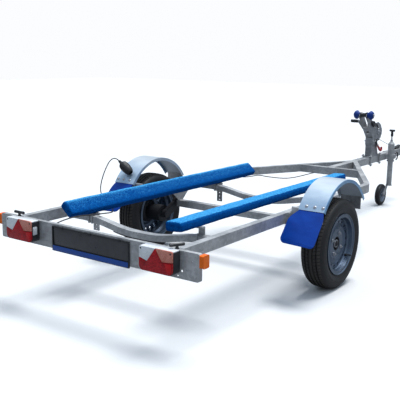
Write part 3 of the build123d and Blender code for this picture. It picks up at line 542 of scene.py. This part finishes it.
bolt_cone = turned("bolt_cone", [(0, 0), (0, 0.0120), (0.003, 0.0120), (0.005, 0.0100), (0.005, 0)], steps=20)
wheel_bolt = join_all("wheel_bolt", [hex_head(0.0085), bolt_cone])
ring_line = [(0, 0.0192), (0, 0.0245), (0.004, 0.0245), (0.0055, 0.0230), (0.0055, 0.0205), (0.004, 0.0192),
             (0, 0.0192)]
cap_line = [(0, 0), (0, 0.0188), (0.003, 0.0188), (0.008, 0.0165), (0.011, 0.0115), (0.0125, 0.006), (0.013, 0)]
valve_line = [(0, 0), (0, 0.006), (0.012, 0.0055), (0.016, 0.0038), (0.030, 0.0038), (0.031, 0.0045),
              (0.040, 0.0045), (0.041, 0.0035), (0.041, 0)]
bolt_face, hub_face, valve_face = 0.738, 0.7335, 0.744
bolt_circle, valve_circle = 0.065, 0.150


def on_disc(side, x, circle, angle):
    """A place on a wheel's disc, at an angle up from straight ahead."""
    return (side * x, axle_y + circle * cos(radians(angle)), axle_z + circle * sin(radians(angle)))


for side, name in ((1, "right"), (-1, "left")):
    tyre = turned(f"tyre_tread_{name}", tyre_line, facing(side, (side * wheel_x, axle_y, axle_z)), 96)
    fit_out(tyre, tyre_rubber, f"wheel_{name}", smooth=40)
    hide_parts(f"tyre_{name}")
    seats = [aimed(on_disc(side, bolt_face, bolt_circle, 63 + 90 * k), (side, 0, 0)) for k in range(4)]
    bolts = set_out(f"wheel_bolts_{name}", wheel_bolt, seats)
    fit_out(bolts, bright_zinc, f"wheel_{name}", smooth=30)
    hub = aimed((side * hub_face, axle_y, axle_z), (side, 0, 0))
    fit_out(turned(f"hub_ring_{name}", ring_line, hub, 40), bright_zinc, f"wheel_{name}")
    fit_out(turned(f"hub_cap_{name}", cap_line, hub, 32), iron, f"wheel_{name}")
    valve_lies = lying(on_disc(side, valve_face, valve_circle, -38), on_disc(side, 1.6, 0.10, -38))
    fit_out(turned(f"valve_{name}", valve_line, valve_lies, 16), rubber, f"wheel_{name}")


# ---- Mudguards and flaps
# Rolled and galvanised steel arches with turned-down edges stand over the tyres. Three domed
# bolts hold a blue moulded flap inside the rear end of each.
guard_steel, wire = start_material("guard_steel")
sideways, forward, _ = coordinates(wire)
outward = abs(sideways).ramp(0.776, 0.7815)
rearward = (forward * -1 - 0.95).ramp(-0.12, 0.20)
cloud = noise(wire, object_place(wire, (6, 6, 18)), 1.0, 5.0)
fine = noise(wire, object_place(wire), 190.0, 2.0)
patchy = cloud.ramp(0.3, 0.7)
zinc_tone = patchy.tint((0.56, 0.63, 0.70), (0.66, 0.72, 0.77))
# The outer lip and the rear end of each arch are painted blue: a painted blue reflection, not the steel's own
# colour.
painted_blue_reflection = patchy.tint((0.16, 0.34, 0.58), (0.30, 0.50, 0.72))
blue_reflection_amount = (outward * 0.85 + rearward * 0.55).ramp(0.0, 1.0)
close_material(wire, {"Base Color": blue_reflection_amount.tint(zinc_tone, painted_blue_reflection), "Metallic": 0.35,
                      "Roughness": cloud * 0.15 + fine * 0.05 + 0.24}, fine, 0.05, 0.0003)
finish_nodes(guard_steel, "mudguard_")
flap_plastic, wire = start_material("flap_plastic")
grain = noise(wire, object_place(wire), 260.0)
scuff = noise(wire, object_place(wire, (9, 9, 30)), 1.0, 5.0)
faded = (grain * 0.3 + scuff * 0.7).ramp(0.25, 0.75)
close_material(wire, {"Base Color": faded.tint((0.0, 0.030, 0.23), (0.001, 0.048, 0.33)),
                      "Roughness": scuff * 0.2 + 0.34, "Specular IOR Level": 0.15}, grain, 0.12, 0.0003)

dome = turned("dome", [(0, 0), (0, 0.0105), (0.0012, 0.0105), (0.0016, 0.008), (0.0040, 0.0068), (0.0055, 0.004),
                       (0.006, 0)], steps=20)
guard_radius, guard_height, bolt_angle = 0.338, 0.325, radians(38.6)
bolt_y, bolt_z = axle_y - guard_radius * cos(bolt_angle), guard_height + guard_radius * sin(bolt_angle)
seam_y, seam_z, lean, flap_thickness = -1.11547, 0.51278, radians(48), 0.0034
for side, name, inner in ((1, "right", 0.581), (-1, "left", 0.628)):
    seats = [aimed((side * x, bolt_y, bolt_z), (0, -cos(bolt_angle), sin(bolt_angle)))
             for x in (0.664, 0.716, 0.766)]
    fit_out(set_out(f"guard_bolts_{name}", dome, seats), bright_zinc, smooth=40)
    outline = [(0.624, 0.024), (0.778, 0.024), (0.778, -0.004), (0.792, -0.044), (0.797, -0.212), (0.786, -0.230),
               (inner + 0.020, -0.222), (inner, -0.200), (inner, -0.058), (0.624, -0.004)]
    corners = [(side * x, seam_y + drop * cos(lean), seam_z + drop * sin(lean)) for x, drop in outline]
    flap = cut_plate(f"flap_sheet_{name}", corners, (0, flap_thickness * sin(lean), -flap_thickness * cos(lean)),
                     [((4, 5, 6, 7), 0.012), ((3, 8), 0.02)])
    fit_out(flap, flap_plastic, bevel=0.0010)
    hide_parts(f"flap_{name}")


# ---- Bunks
# Two long timber bearers are wrapped in blue needle carpet. The left one leans in towards the
# keel, and the right one lies nearly flat.
carpet, wire = start_material("bunk_carpet")
point = object_place(wire)
pile = noise(wire, point, 520.0, 3.0)
tuft = noise(wire, point, 150.0, 3.0, 0.7)
lie = wire.node("SeparateXYZ", None, {0: wire.node("NewGeometry", out=1)}, 2)
# Faces that point up are painted a paler blue, a painted highlight of the light from above; faces tilted part way
# up are painted a darker blue, painted shade.
painted_lit_top = (lie + tuft * 0.3 - 0.15).ramp(0.72, 0.92)
painted_tilt_shade = lie.ramp(0.30, 0.62)
tip = (pile * 0.35 + tuft * 0.65).ramp(0.36, 0.64)
flat = tip.tint((0.0, 0.035, 0.19), (0.0, 0.115, 0.44))
tilt_shaded_blue = tip.tint((0.0, 0.030, 0.15), (0.0, 0.110, 0.40))
wear_and_lit_top = tip.tint((0.0, 0.10, 0.40), (0.09, 0.46, 0.76))
close_material(wire, {"Base Color": painted_lit_top.tint(painted_tilt_shade.tint(flat, tilt_shaded_blue), wear_and_lit_top), "Roughness": 0.9,
                      "Specular IOR Level": 0.05}, pile * 0.5 + tuft * 0.8, 0.8, 0.0025)
bunk_width, bunk_length, bunk_height, bunk_y = 0.104, 1.9492, 0.048, -0.9554
for name, x, z, tilt in (("left", -0.4025, 0.5055, 42), ("right", 0.352, 0.523, -3)):
    bpy.ops.object.select_all(action="DESELECT")
    bpy.ops.mesh.primitive_cube_add(size=1, scale=(bunk_width, bunk_length, bunk_height), location=(0, 0, 0))
    bunk = bpy.context.object
    bunk.name = f"bunk_carpet_{name}"
    bpy.ops.object.transform_apply(location=True, rotation=True, scale=True)
    bpy.ops.object.mode_set(mode="EDIT")
    bpy.ops.mesh.select_mode(type="EDGE")
    bpy.ops.mesh.select_all(action="SELECT")
    bpy.ops.mesh.bevel(offset=0.012, segments=4, affect="EDGES", profile=0.5)
    bpy.ops.object.mode_set(mode="OBJECT")
    remesh = bunk.modifiers.new("fine", "REMESH")
    remesh.mode, remesh.voxel_size, remesh.use_smooth_shade = "VOXEL", 0.0065, True
    bpy.ops.object.modifier_apply(modifier="fine")
    ease = bunk.modifiers.new("ease", "SMOOTH")
    ease.factor, ease.iterations = 0.5, 2
    bpy.ops.object.modifier_apply(modifier="ease")
    surface = [(vertex.co.copy(), vertex.normal.copy()) for vertex in bunk.data.vertices]
    for vertex, (spot, outward) in zip(bunk.data.vertices, surface):
        dents = 0.0016 * cloud_noise.noise(spot * 9.0 + Vector((x * 50, 0, 0)))
        dents += 0.0005 * cloud_noise.noise(spot * 60.0)
        middle = max(0.0, 1 - (abs(spot.x) / (bunk_width / 2)) ** 4) * min(1.0, abs(spot.z) / 0.02)
        crown = 0.0042 * middle * (1 if spot.z > 0 else -0.2)
        vertex.co = spot + outward * dents + Vector((0, 0, crown))
    bunk.data.transform(Matrix.Translation((x, bunk_y, z)) @ Matrix.Rotation(radians(tilt), 4, "Y"))
    fit_out(bunk, carpet, smooth=70)
    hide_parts(f"bunk_{name}")


# ---- Lamps and side markers
# Each lamp is a deep black box with a screwed front of coloured plastic: red below, clear and
# pink above, and a red triangular reflector over them. Orange markers sit on the board's ends.
def lens_plastic(name, dark, light, cell=230.0, rough=0.16, metal=0.0):
    """Coloured lens plastic with small prisms of a given fineness."""
    material, wire = start_material(name)
    point = object_place(wire)
    prism = wire.node("TexVoronoi", None, {"Vector": point, "Scale": cell})
    haze = noise(wire, point, 28.0, 4.0)
    shade = (prism * 0.55 + haze * 0.6).ramp(0.25, 0.85)
    close_material(wire, {"Base Color": shade.tint(dark, light), "Roughness": haze * 0.1 + rough, "Metallic": metal,
                          "Coat Weight": 0.12, "Coat Roughness": 0.06, "Specular IOR Level": 0.3},
                   prism, 0.35, 0.0007)
    return material


red_lens = lens_plastic("red_lens", (0.20, 0.002, 0.004), (0.50, 0.008, 0.014))
bright_lens = lens_plastic("fog_lens", (0.48, 0.002, 0.006), (0.74, 0.008, 0.014), 320.0)
reflector_lens = lens_plastic("reflector_lens", (0.20, 0.002, 0.005), (0.62, 0.014, 0.024), 170.0)
clear_lens = lens_plastic("clear_lens", (0.66, 0.70, 0.74), (0.95, 0.97, 0.99), 300.0, 0.1, 0.15)
pink_lens = lens_plastic("pink_lens", (0.55, 0.13, 0.09), (0.80, 0.34, 0.26), 260.0)
amber_lens = lens_plastic("amber_lens", (0.95, 0.11, 0.003), (1.0, 0.20, 0.006), 260.0)
finish_nodes(amber_lens, "side_marker_")

black_plastic, wire = start_material("black_plastic")
point = object_place(wire)
grain = noise(wire, point, 320.0)
dull = noise(wire, point, 18.0, 4.0)
close_material(wire, {"Base Color": (grain * 0.3 + dull * 0.7).tint((0.008, 0.009, 0.010), (0.030, 0.032, 0.036)),
                      "Roughness": dull * 0.2 + 0.28}, grain, 0.12, 0.0003)
finish_nodes(black_plastic, "plate_holder", "bow_roller", "coupling_handle")

lamp_low, board_rear, lens_rear, screw_rear = 0.379, -2.155, -2.2045, -2.2116


def lamp_plate(name, left, y, spots, depth, rounded, material, bevel):
    """A plate cut to (right, up) in millimetres from a lamp's lower left corner, and finished."""
    corners = [(left + right / 1000, y, lamp_low + up / 1000) for right, up in spots]
    return fit_out(cut_plate(name, corners, (0, depth, 0), rounded), material, bevel=bevel)


screw = turned("lens_screw", [(0, 0), (0, 0.0042), (0.0008, 0.0042), (0.0016, 0.003), (0.0016, 0.0012),
                              (0.0006, 0.001), (0.0006, 0)], steps=16)
for name, left in (("left", -0.571), ("right", 0.371)):
    core = lamp_plate(f"lamp_box_{name}", left, board_rear,
                      [(0, 15), (15, 0), (185, 0), (200, 15), (200, 110), (0, 110)],
                      -0.0495, [((0, 1, 2, 3), 0.006)], black_plastic, 0.0015)
    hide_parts(f"lamp_body_{name}")
    red = lamp_plate(f"lamp_red_{name}", left, lens_rear,
                     [(1, 61), (1, 16), (16, 1), (184, 1), (199, 16), (199, 63), (150, 58), (60, 50), (44, 49),
                      (28, 54), (14, 58)], -0.0090, [((1, 2, 3, 4), 0.007)], red_lens, 0.0024)
    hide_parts(f"lamp_lens_{name}")
    lamp_plate(f"lamp_fog_{name}", left, -2.2125, [(156, 54), (166, 8), (183, 8), (193, 18), (193, 57)],
               -0.0016, [], bright_lens, 0.0007)
    lamp_plate(f"lamp_clear_{name}", left, lens_rear,
               [(1, 62), (14, 59), (28, 55), (44, 50), (60, 51), (97, 117), (1, 117)],
               -0.0075, [((6,), 0.009)], clear_lens, 0.0022)
    lamp_plate(f"lamp_pink_{name}", left, lens_rear, [(98, 117), (134, 58), (150, 59), (199, 64), (199, 117)],
               -0.0075, [((4,), 0.009)], pink_lens, 0.0022)
    lamp_plate(f"lamp_triangle_{name}", left, -2.2100, [(17, 5), (179, 5), (97, 114)],
               -0.0049, [((0, 1, 2), 0.004)], reflector_lens, 0.0012)
    lamp_plate(f"lamp_lid_{name}", left, lens_rear, [(2, 110), (198, 110), (198, 117), (2, 117)],
               0.0440, [((2, 3), 0.005)], clear_lens, 0.0008)
    seats = [aimed((left + right, screw_rear, lamp_low + up), (0, -1, 0))
             for right, up in ((0.012, 0.106), (0.187, 0.104))]
    fit_out(set_out(f"lamp_screws_{name}", screw, seats), black_plastic)
window = cut_plate("plate_lamp_window",
                   at_x(-0.371, ((-2.201, 0.420), (-2.201, 0.463), (-2.173, 0.463), (-2.173, 0.420))),
                   (0.0018, 0, 0), [((0, 1, 2, 3), 0.004)])
fit_out(window, clear_lens, bevel=0.0006)


# ---- Light board, plate holder and knobs
# A folded zinc-plated sheet holds the lamps. The plate holder is moulded in black with a bare
# blue strip below, and two black T-knobs stand on the board's top edge.
rivets = [aimed((x, board_rear, z), (0, -1, 0)) @ Matrix.Scale(0.55, 4)
          for x, z in ((-0.318, 0.392), (0.612, 0.405), (0.640, 0.452), (-0.648, 0.400))]
fit_out(set_out("board_rivets", dome, rivets), bright_zinc)
panel_black, wire = start_material("panel_black")
point = object_place(wire)
sheen = noise(wire, point, 22.0, 4.0)
close_material(wire, {"Base Color": sheen.tint((0.034, 0.035, 0.038), (0.075, 0.077, 0.082)),
                      "Roughness": sheen * 0.15 + 0.22, "Coat Weight": 0.2},
               noise(wire, point, 420.0), 0.08, 0.0002)
panel = cut_plate("holder_panel", rectangle(-2.1575, -0.257, 0.257, 0.3835, 0.4765), (0, -0.0022, 0),
                  [((0, 1, 2, 3), 0.008)])
fit_out(panel, panel_black, bevel=0.0006)
strip_blue, wire = start_material("strip_blue")
sheen = noise(wire, object_place(wire), 30.0, 4.0)
close_material(wire, {"Base Color": sheen.tint((0.004, 0.055, 0.30), (0.010, 0.090, 0.42)),
                      "Roughness": sheen * 0.1 + 0.25, "Coat Weight": 0.2})
strip = cut_plate("holder_strip", rectangle(-2.1620, -0.262, 0.262, 0.3525, 0.3790), (0, -0.0034, 0),
                  [((0, 1, 2, 3), 0.004)])
fit_out(strip, strip_blue, bevel=0.0012)
clips = [cut_plate("holder_clip", rectangle(-2.1565, x - 0.013, x + 0.013, 0.473, 0.484), (0, -0.0095, 0),
                   [((0, 1), 0.003)]) for x in (-0.20, 0.0, 0.20)]
fit_out(join_all("holder_clips", clips), black_plastic, bevel=0.0007)

bar_line = [(-0.038, 0), (-0.038, 0.0045), (-0.0368, 0.0070), (-0.034, 0.0082), (-0.020, 0.0078), (0, 0.0076),
            (0.020, 0.0078), (0.034, 0.0082), (0.0368, 0.0070), (0.038, 0.0045), (0.038, 0)]
neck_line = [(0, 0), (0, 0.0105), (0.0025, 0.0105), (0.003, 0.0080), (0.012, 0.0070), (0.018, 0.0085),
             (0.024, 0.0060), (0.024, 0)]
knob_x, knob_y, knob_low, bar_height = 0.543, -2.143, 0.4922, 0.512
for side, name, turn in ((-1, "left", 0), (1, "right", 60)):
    bar_lies = Matrix.Translation((side * knob_x, knob_y, bar_height)) @ Matrix.Rotation(radians(turn), 4, "Z")
    bar = turned("bar", bar_line, bar_lies, 24)
    neck = turned("neck", neck_line, aimed((side * knob_x, knob_y, knob_low), (0, 0, 1)), 24)
    knob = fit_out(join_all(f"board_T_knob_{name}", [bar, neck]), black_plastic, smooth=40)
    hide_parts(f"board_knob_{name}")


# ---- Winch stand and bow stop
# A tapered folded post is clamped to the drawbar by four bolts between plates. Its head carries a
# waisted black roller between the cheeks and a blue rubber cone outside each of them.
blue_rubber, wire = start_material("blue_rubber")
point = object_place(wire)
mould = noise(wire, point, 90.0, 3.0)
close_material(wire, {"Base Color": mould.tint((0.001, 0.022, 0.17), (0.003, 0.050, 0.30)),
                      "Roughness": mould * 0.15 + 0.38, "Specular IOR Level": 0.3},
               noise(wire, point, 480.0), 0.12, 0.0003)
stand_steel = zinc("stand_steel", (0.22, 0.225, 0.235), (0.42, 0.43, 0.45), 0.5, 0.26)
finish_nodes(stand_steel, "stand_head", "winch_post")
cone_line = [(0.035, 0.0083), (0.035, 0.0200), (0.0362, 0.0218), (0.0480, 0.0275), (0.0600, 0.0378),
             (0.0620, 0.0388), (0.0680, 0.0388), (0.0700, 0.0382), (0.0840, 0.0285), (0.0870, 0.0230),
             (0.0880, 0.0160), (0.0880, 0.0083), (0.035, 0.0083)]
pin_end_line = [(0, 0), (0, 0.0150), (0.0018, 0.0150), (0.0022, 0.0095), (0.0055, 0.0090), (0.0065, 0.0070),
                (0.0065, 0)]
pin_y, pin_z = pivots["bow_roller_spin"][1:]
for side, name in ((-1, "left"), (1, "right")):
    cone = turned(f"bow_cone_rubber_{name}", cone_line, facing(side, (0, pin_y, pin_z)), 48)
    fit_out(cone, blue_rubber, f"bow_stop_cone_{name}", bevel=0.0010, smooth=40)
    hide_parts(f"bow_cone_{name}")
    pin_end = turned(f"bow_pin_end_{name}", pin_end_line, aimed((side * 0.0885, pin_y, pin_z), (side, 0, 0)), 24)
    fit_out(pin_end, bright_zinc)

big_nut = hex_head(0.0095)
stand_bolt_x, top_plate, low_plate = 0.0375, 0.4945, 0.4235
stand_nuts = []
for k, y in enumerate((1.371, 1.579)):
    for side, letter in ((-1, "l"), (1, "r")):
        x = side * stand_bolt_x
        round_rod(f"stand_bolt_{k}_{letter}", [(x, y, 0.4215), (x, y, 0.435), (x, y, 0.49), (x, y, 0.5)], 0.005)
        stand_nuts += [aimed((x, y, top_plate + 0.005), (0, 0, 1)), aimed((x, y, low_plate), (0, 0, -1))]
    for name, z in (("top", top_plate), ("low", low_plate)):
        corners = [(-0.050, y - 0.015, z), (0.050, y - 0.015, z), (0.050, y + 0.015, z), (-0.050, y + 0.015, z)]
        plate = cut_plate(f"stand_plate_{name}_{k}", corners, (0, 0, 0.005), [((0, 1, 2, 3), 0.004)])
        fit_out(plate, galvanised, bevel=0.0008)
fit_out(set_out("stand_nuts", big_nut, stand_nuts), galvanised, smooth=30)
head_bolts = [aimed((side * 0.034, y, 0.632), (side, 0, 0)) for side in (-1, 1) for y in (1.402, 1.448)]
fit_out(set_out("head_bolts", nut, head_bolts), galvanised, smooth=30)


# ---- Winch
# Two pressed side plates carry the drum with its wound black strap. A flat crank with a black
# grip turns it on the left, and the strap's red hook hangs at the right side of the post.
finish_nodes(stand_steel, "winch_frame", "winch_drum", "winch_crank")
webbing, wire = start_material("webbing")
thread = wire.maths("SINE", coordinates(wire)[0] * 2600.0)
close_material(wire, {"Base Color": thread.ramp(-0.6, 0.8).tint((0.010, 0.010, 0.011), (0.035, 0.035, 0.037)),
                      "Roughness": 0.7}, thread, 0.4, 0.0006)
finish_nodes(webbing, "winch_strap")
grip_line = [(0.001, 0), (0.001, 0.0136), (0.004, 0.0142), (0.010, 0.0136), (0.034, 0.0144), (0.060, 0.0136),
             (0.067, 0.0144), (0.070, 0.0128), (0.0715, 0.009), (0.0718, 0)]
grip = turned("crank_grip", grip_line, aimed((-0.090, 1.34507, 0.80996), (-1, 0, 0)), 32)
fit_out(grip, black_plastic, "winch_reel", smooth=40)

shaft_y, shaft_z = pivots["winch_turn"][1:]
gear_face, gear_points = 0.0385, 32
teeth = []
for k in range(gear_points):
    angle, size = 2 * pi * k / gear_points, (0.031, 0.0255)[k % 2]
    teeth.append((gear_face, shaft_y + size * cos(angle), shaft_z + size * sin(angle)))
gear = cut_plate("winch_gear", teeth, (0.005, 0, 0))
fit_out(gear, bright_zinc, "winch_reel", bevel=0.0005)
shaft_nuts = [aimed((0.0435, shaft_y, shaft_z), (1, 0, 0)), aimed((-0.0905, shaft_y, shaft_z), (-1, 0, 0))]
fit_out(set_out("winch_shaft_nuts", big_nut, shaft_nuts), bright_zinc, "winch_reel", smooth=30)
pins = [aimed((side * 0.037, shaft_y + y, shaft_z + z), (side, 0, 0))
        for side in (-1, 1) for y, z in ((0.045, -0.053), (0, -0.065), (-0.040, 0.065), (0.058, 0.022))]
fit_out(set_out("winch_frame_nuts", nut, pins), bright_zinc, smooth=30)
pawl_corners = ((1.455, 0.788), (1.470, 0.790), (1.492, 0.756), (1.503, 0.7495), (1.497, 0.7465), (1.480, 0.752),
                (1.457, 0.772))
pawl = cut_plate("winch_pawl", at_x(gear_face, pawl_corners), (0.005, 0, 0), [((0, 1, 6), 0.004)])
fit_out(pawl, black_plastic, bevel=0.0008)

hook_red, wire = start_material("hook_red")
coat = noise(wire, object_place(wire), 60.0, 3.0)
close_material(wire, {"Base Color": coat.tint((0.40, 0.006, 0.008), (0.62, 0.018, 0.018)),
                      "Roughness": coat * 0.15 + 0.3, "Coat Weight": 0.2}, coat, 0.1, 0.0003)
hook_x, hook_inner = 0.0425, 0.0375
tail_corners = ((1.452, 0.6330), (1.478, 0.6480), (1.5075, 0.5930), (1.4870, 0.5820))
strap_tail = cut_plate("strap_tail", at_x(hook_inner, tail_corners), (0.0030, 0, 0), [((2, 3), 0.003)])
fit_out(strap_tail, webbing, bevel=0.0006)
hook_line = ((1.4930, 0.5960), (1.4990, 0.5860), (1.5160, 0.5700), (1.5400, 0.5500), (1.5580, 0.5370),
             (1.5760, 0.5320), (1.5920, 0.5370), (1.5990, 0.5500), (1.5930, 0.5640))
hook = round_rod("strap_red_hook", at_x(hook_x, hook_line), 0.0085, hook_red)
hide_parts("strap_hook")
web_corners = ((1.500, 0.592), (1.528, 0.578), (1.566, 0.552), (1.580, 0.540), (1.556, 0.534), (1.530, 0.550),
               (1.498, 0.578))
web = cut_plate("strap_hook_web", at_x(hook_inner, web_corners), (0.010, 0, 0), [((0, 1, 2, 4, 5, 6), 0.004)])
fit_out(web, hook_red, bevel=0.0015)
eye_line = [(-0.009, 0), (-0.009, 0.0065), (-0.008, 0.0080), (0.008, 0.0080), (0.009, 0.0065), (0.009, 0)]
eye = turned("strap_hook_eye", eye_line, Matrix.Translation((hook_x, 1.4955, 0.5900)), 20)
fit_out(eye, bright_zinc)
latch_line = ((1.5560, 0.5600), (1.5700, 0.5680), (1.5830, 0.5670), (1.5930, 0.5610))
round_rod("strap_hook_latch", at_x(hook_x, latch_line), 0.0024, bright_zinc)
stay_line = [(0.0385, 1.5290, 0.6430), (0.0395, 1.5600, 0.6330), (0.0450, 1.6900, 0.5930), (0.0475, 1.7410, 0.5770)]
round_rod("winch_stay", stay_line, 0.0021, iron)
catch_corners = ((1.330, 0.800), (1.344, 0.822), (1.374, 0.818), (1.410, 0.792), (1.408, 0.766), (1.372, 0.764))
catch = cut_plate("winch_catch", at_x(0.0350, catch_corners), (0.0170, 0, 0), [((0, 1, 2, 3, 4, 5), 0.007)])
fit_out(catch, black_plastic, bevel=0.0025)


# ---- Jockey wheel
# A tube clamped beside the drawbar holds a sliding inner tube, wound by a black T-handle. The
# pressed steel wheel below it has a solid black rubber tyre and turns in a swivelling fork.
finish_nodes(galvanised, "jockey_fork")
tube_x, tube_y, _ = pivots["jockey_swivel"]
spindle_line = [(0, 0), (0, 0.0125), (0.004, 0.0125), (0.005, 0.0105), (0.011, 0.0105), (0.012, 0.0062),
                (0.046, 0.0062), (0.046, 0)]
spindle = turned("jockey_spindle", spindle_line, aimed((tube_x, tube_y, 0.6075), (0, 0, 1)), 28)
fit_out(spindle, bright_zinc)
neck_line = [(0, 0), (0, 0.0095), (0.002, 0.0115), (0.018, 0.0120), (0.030, 0.0105), (0.044, 0.0115),
             (0.050, 0.0095), (0.050, 0)]
neck = turned("neck", neck_line, aimed((tube_x, tube_y, 0.650), (0, 0, 1)), 28)
bar_line = [(-0.0260, 0), (-0.0260, 0.0060), (-0.0245, 0.0088), (-0.021, 0.0100), (-0.008, 0.0092),
            (0.008, 0.0092), (0.021, 0.0100), (0.0245, 0.0088), (0.0260, 0.0060), (0.0260, 0)]
bar = turned("bar", bar_line, Matrix.Translation((tube_x, tube_y, 0.7055)), 28)
handle = fit_out(join_all("jockey_T_handle", [neck, bar]), black_plastic, smooth=40)
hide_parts("jockey_handle")
collar_line = [(0, 0.0304), (0, 0.0335), (0.002, 0.0345), (0.010, 0.0345), (0.012, 0.0335), (0.012, 0.0304),
               (0, 0.0304)]
collar = turned("jockey_collar", collar_line, aimed((tube_x, tube_y, 0.415), (0, 0, 1)), 48)
fit_out(collar, galvanised)

roller_x, roller_y, roller_z = pivots["jockey_wheel_spin"]
roller_lies = Matrix.Translation((roller_x, roller_y, roller_z))
half_tread = [(0.0225, 0.0690), (0.0230, 0.0800), (0.0215, 0.0905), (0.0160, 0.0968), (0.0086, 0.0990),
              (0.0080, 0.0965), (0.0060, 0.0965), (0.0054, 0.0998), (0, 0.1000)]
seat_line = [(-0.0188, 0.0660), (-0.0138, 0.0610), (0.0138, 0.0610), (0.0188, 0.0660), (0.0225, 0.0690)]
other_half = [(-along, radius) for along, radius in half_tread[-2::-1]]
jockey_tyre = turned("jockey_rubber", [*half_tread, *other_half, *seat_line], roller_lies, 64)
fit_out(jockey_tyre, rubber, "jockey_roller", smooth=40)
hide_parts("jockey_wheel")
dish_line = [(-0.0225, 0.0680), (-0.0190, 0.0650), (-0.0140, 0.0600), (0.0140, 0.0600), (0.0190, 0.0650),
             (0.0225, 0.0680), (0.0225, 0.0655), (0.0165, 0.0575), (0.0060, 0.0550), (0.0020, 0.0510),
             (0.0012, 0.0300), (0.0060, 0.0215), (0.0230, 0.0200), (0.0230, 0.0086), (-0.0230, 0.0086),
             (-0.0230, 0.0200), (-0.0060, 0.0215), (-0.0022, 0.0300), (-0.0012, 0.0510), (-0.0060, 0.0550),
             (-0.0165, 0.0575), (-0.0225, 0.0655), (-0.0225, 0.0680)]
rim_steel = zinc("rim_steel", (0.16, 0.20, 0.26), (0.34, 0.39, 0.46), 0.6, 0.22)
fit_out(turned("jockey_rim", dish_line, roller_lies, 64), rim_steel, "jockey_roller", smooth=40)
axle_nut = set_out("jockey_axle_nut", big_nut, [aimed((0.058, roller_y, roller_z), (1, 0, 0))])
fit_out(axle_nut, bright_zinc, "jockey_caster", smooth=30)
boss_line = [(0, 0), (0, 0.0215), (0.018, 0.0215), (0.022, 0.0195), (0.024, 0.0130), (0.026, 0.0120), (0.026, 0)]
boss = turned("jockey_clamp_boss", boss_line, aimed((0.078, 1.8120, 0.4590), (1, 0, 0)), 36)
fit_out(boss, bright_zinc)
lever_line = [(0.1030, 1.8000, 0.4870), (0.1060, 1.8160, 0.4990), (0.1070, 1.8380, 0.4960),
              (0.1070, 1.8520, 0.4800), (0.1070, 1.8550, 0.4560), (0.1060, 1.8460, 0.4360),
              (0.1030, 1.8280, 0.4260)]
round_rod("jockey_clamp_lever", lever_line, 0.0062, black_plastic)


# ---- Coupling
# A pressed steel coupling is bolted through its sides to the drawbar's end. A black lever on top
# opens its latch.
finish_nodes(galvanised, "coupling_head")
bolts = [aimed((side * 0.0302, y, 0.462), (side, 0, 0)) for side in (-1, 1) for y in (1.835, 1.882)]
fit_out(set_out("coupling_bolts", big_nut, bolts), bright_zinc, smooth=30)
for model in (nut, big_nut, wheel_bolt, dome, screw):
    bpy.data.objects.remove(model)
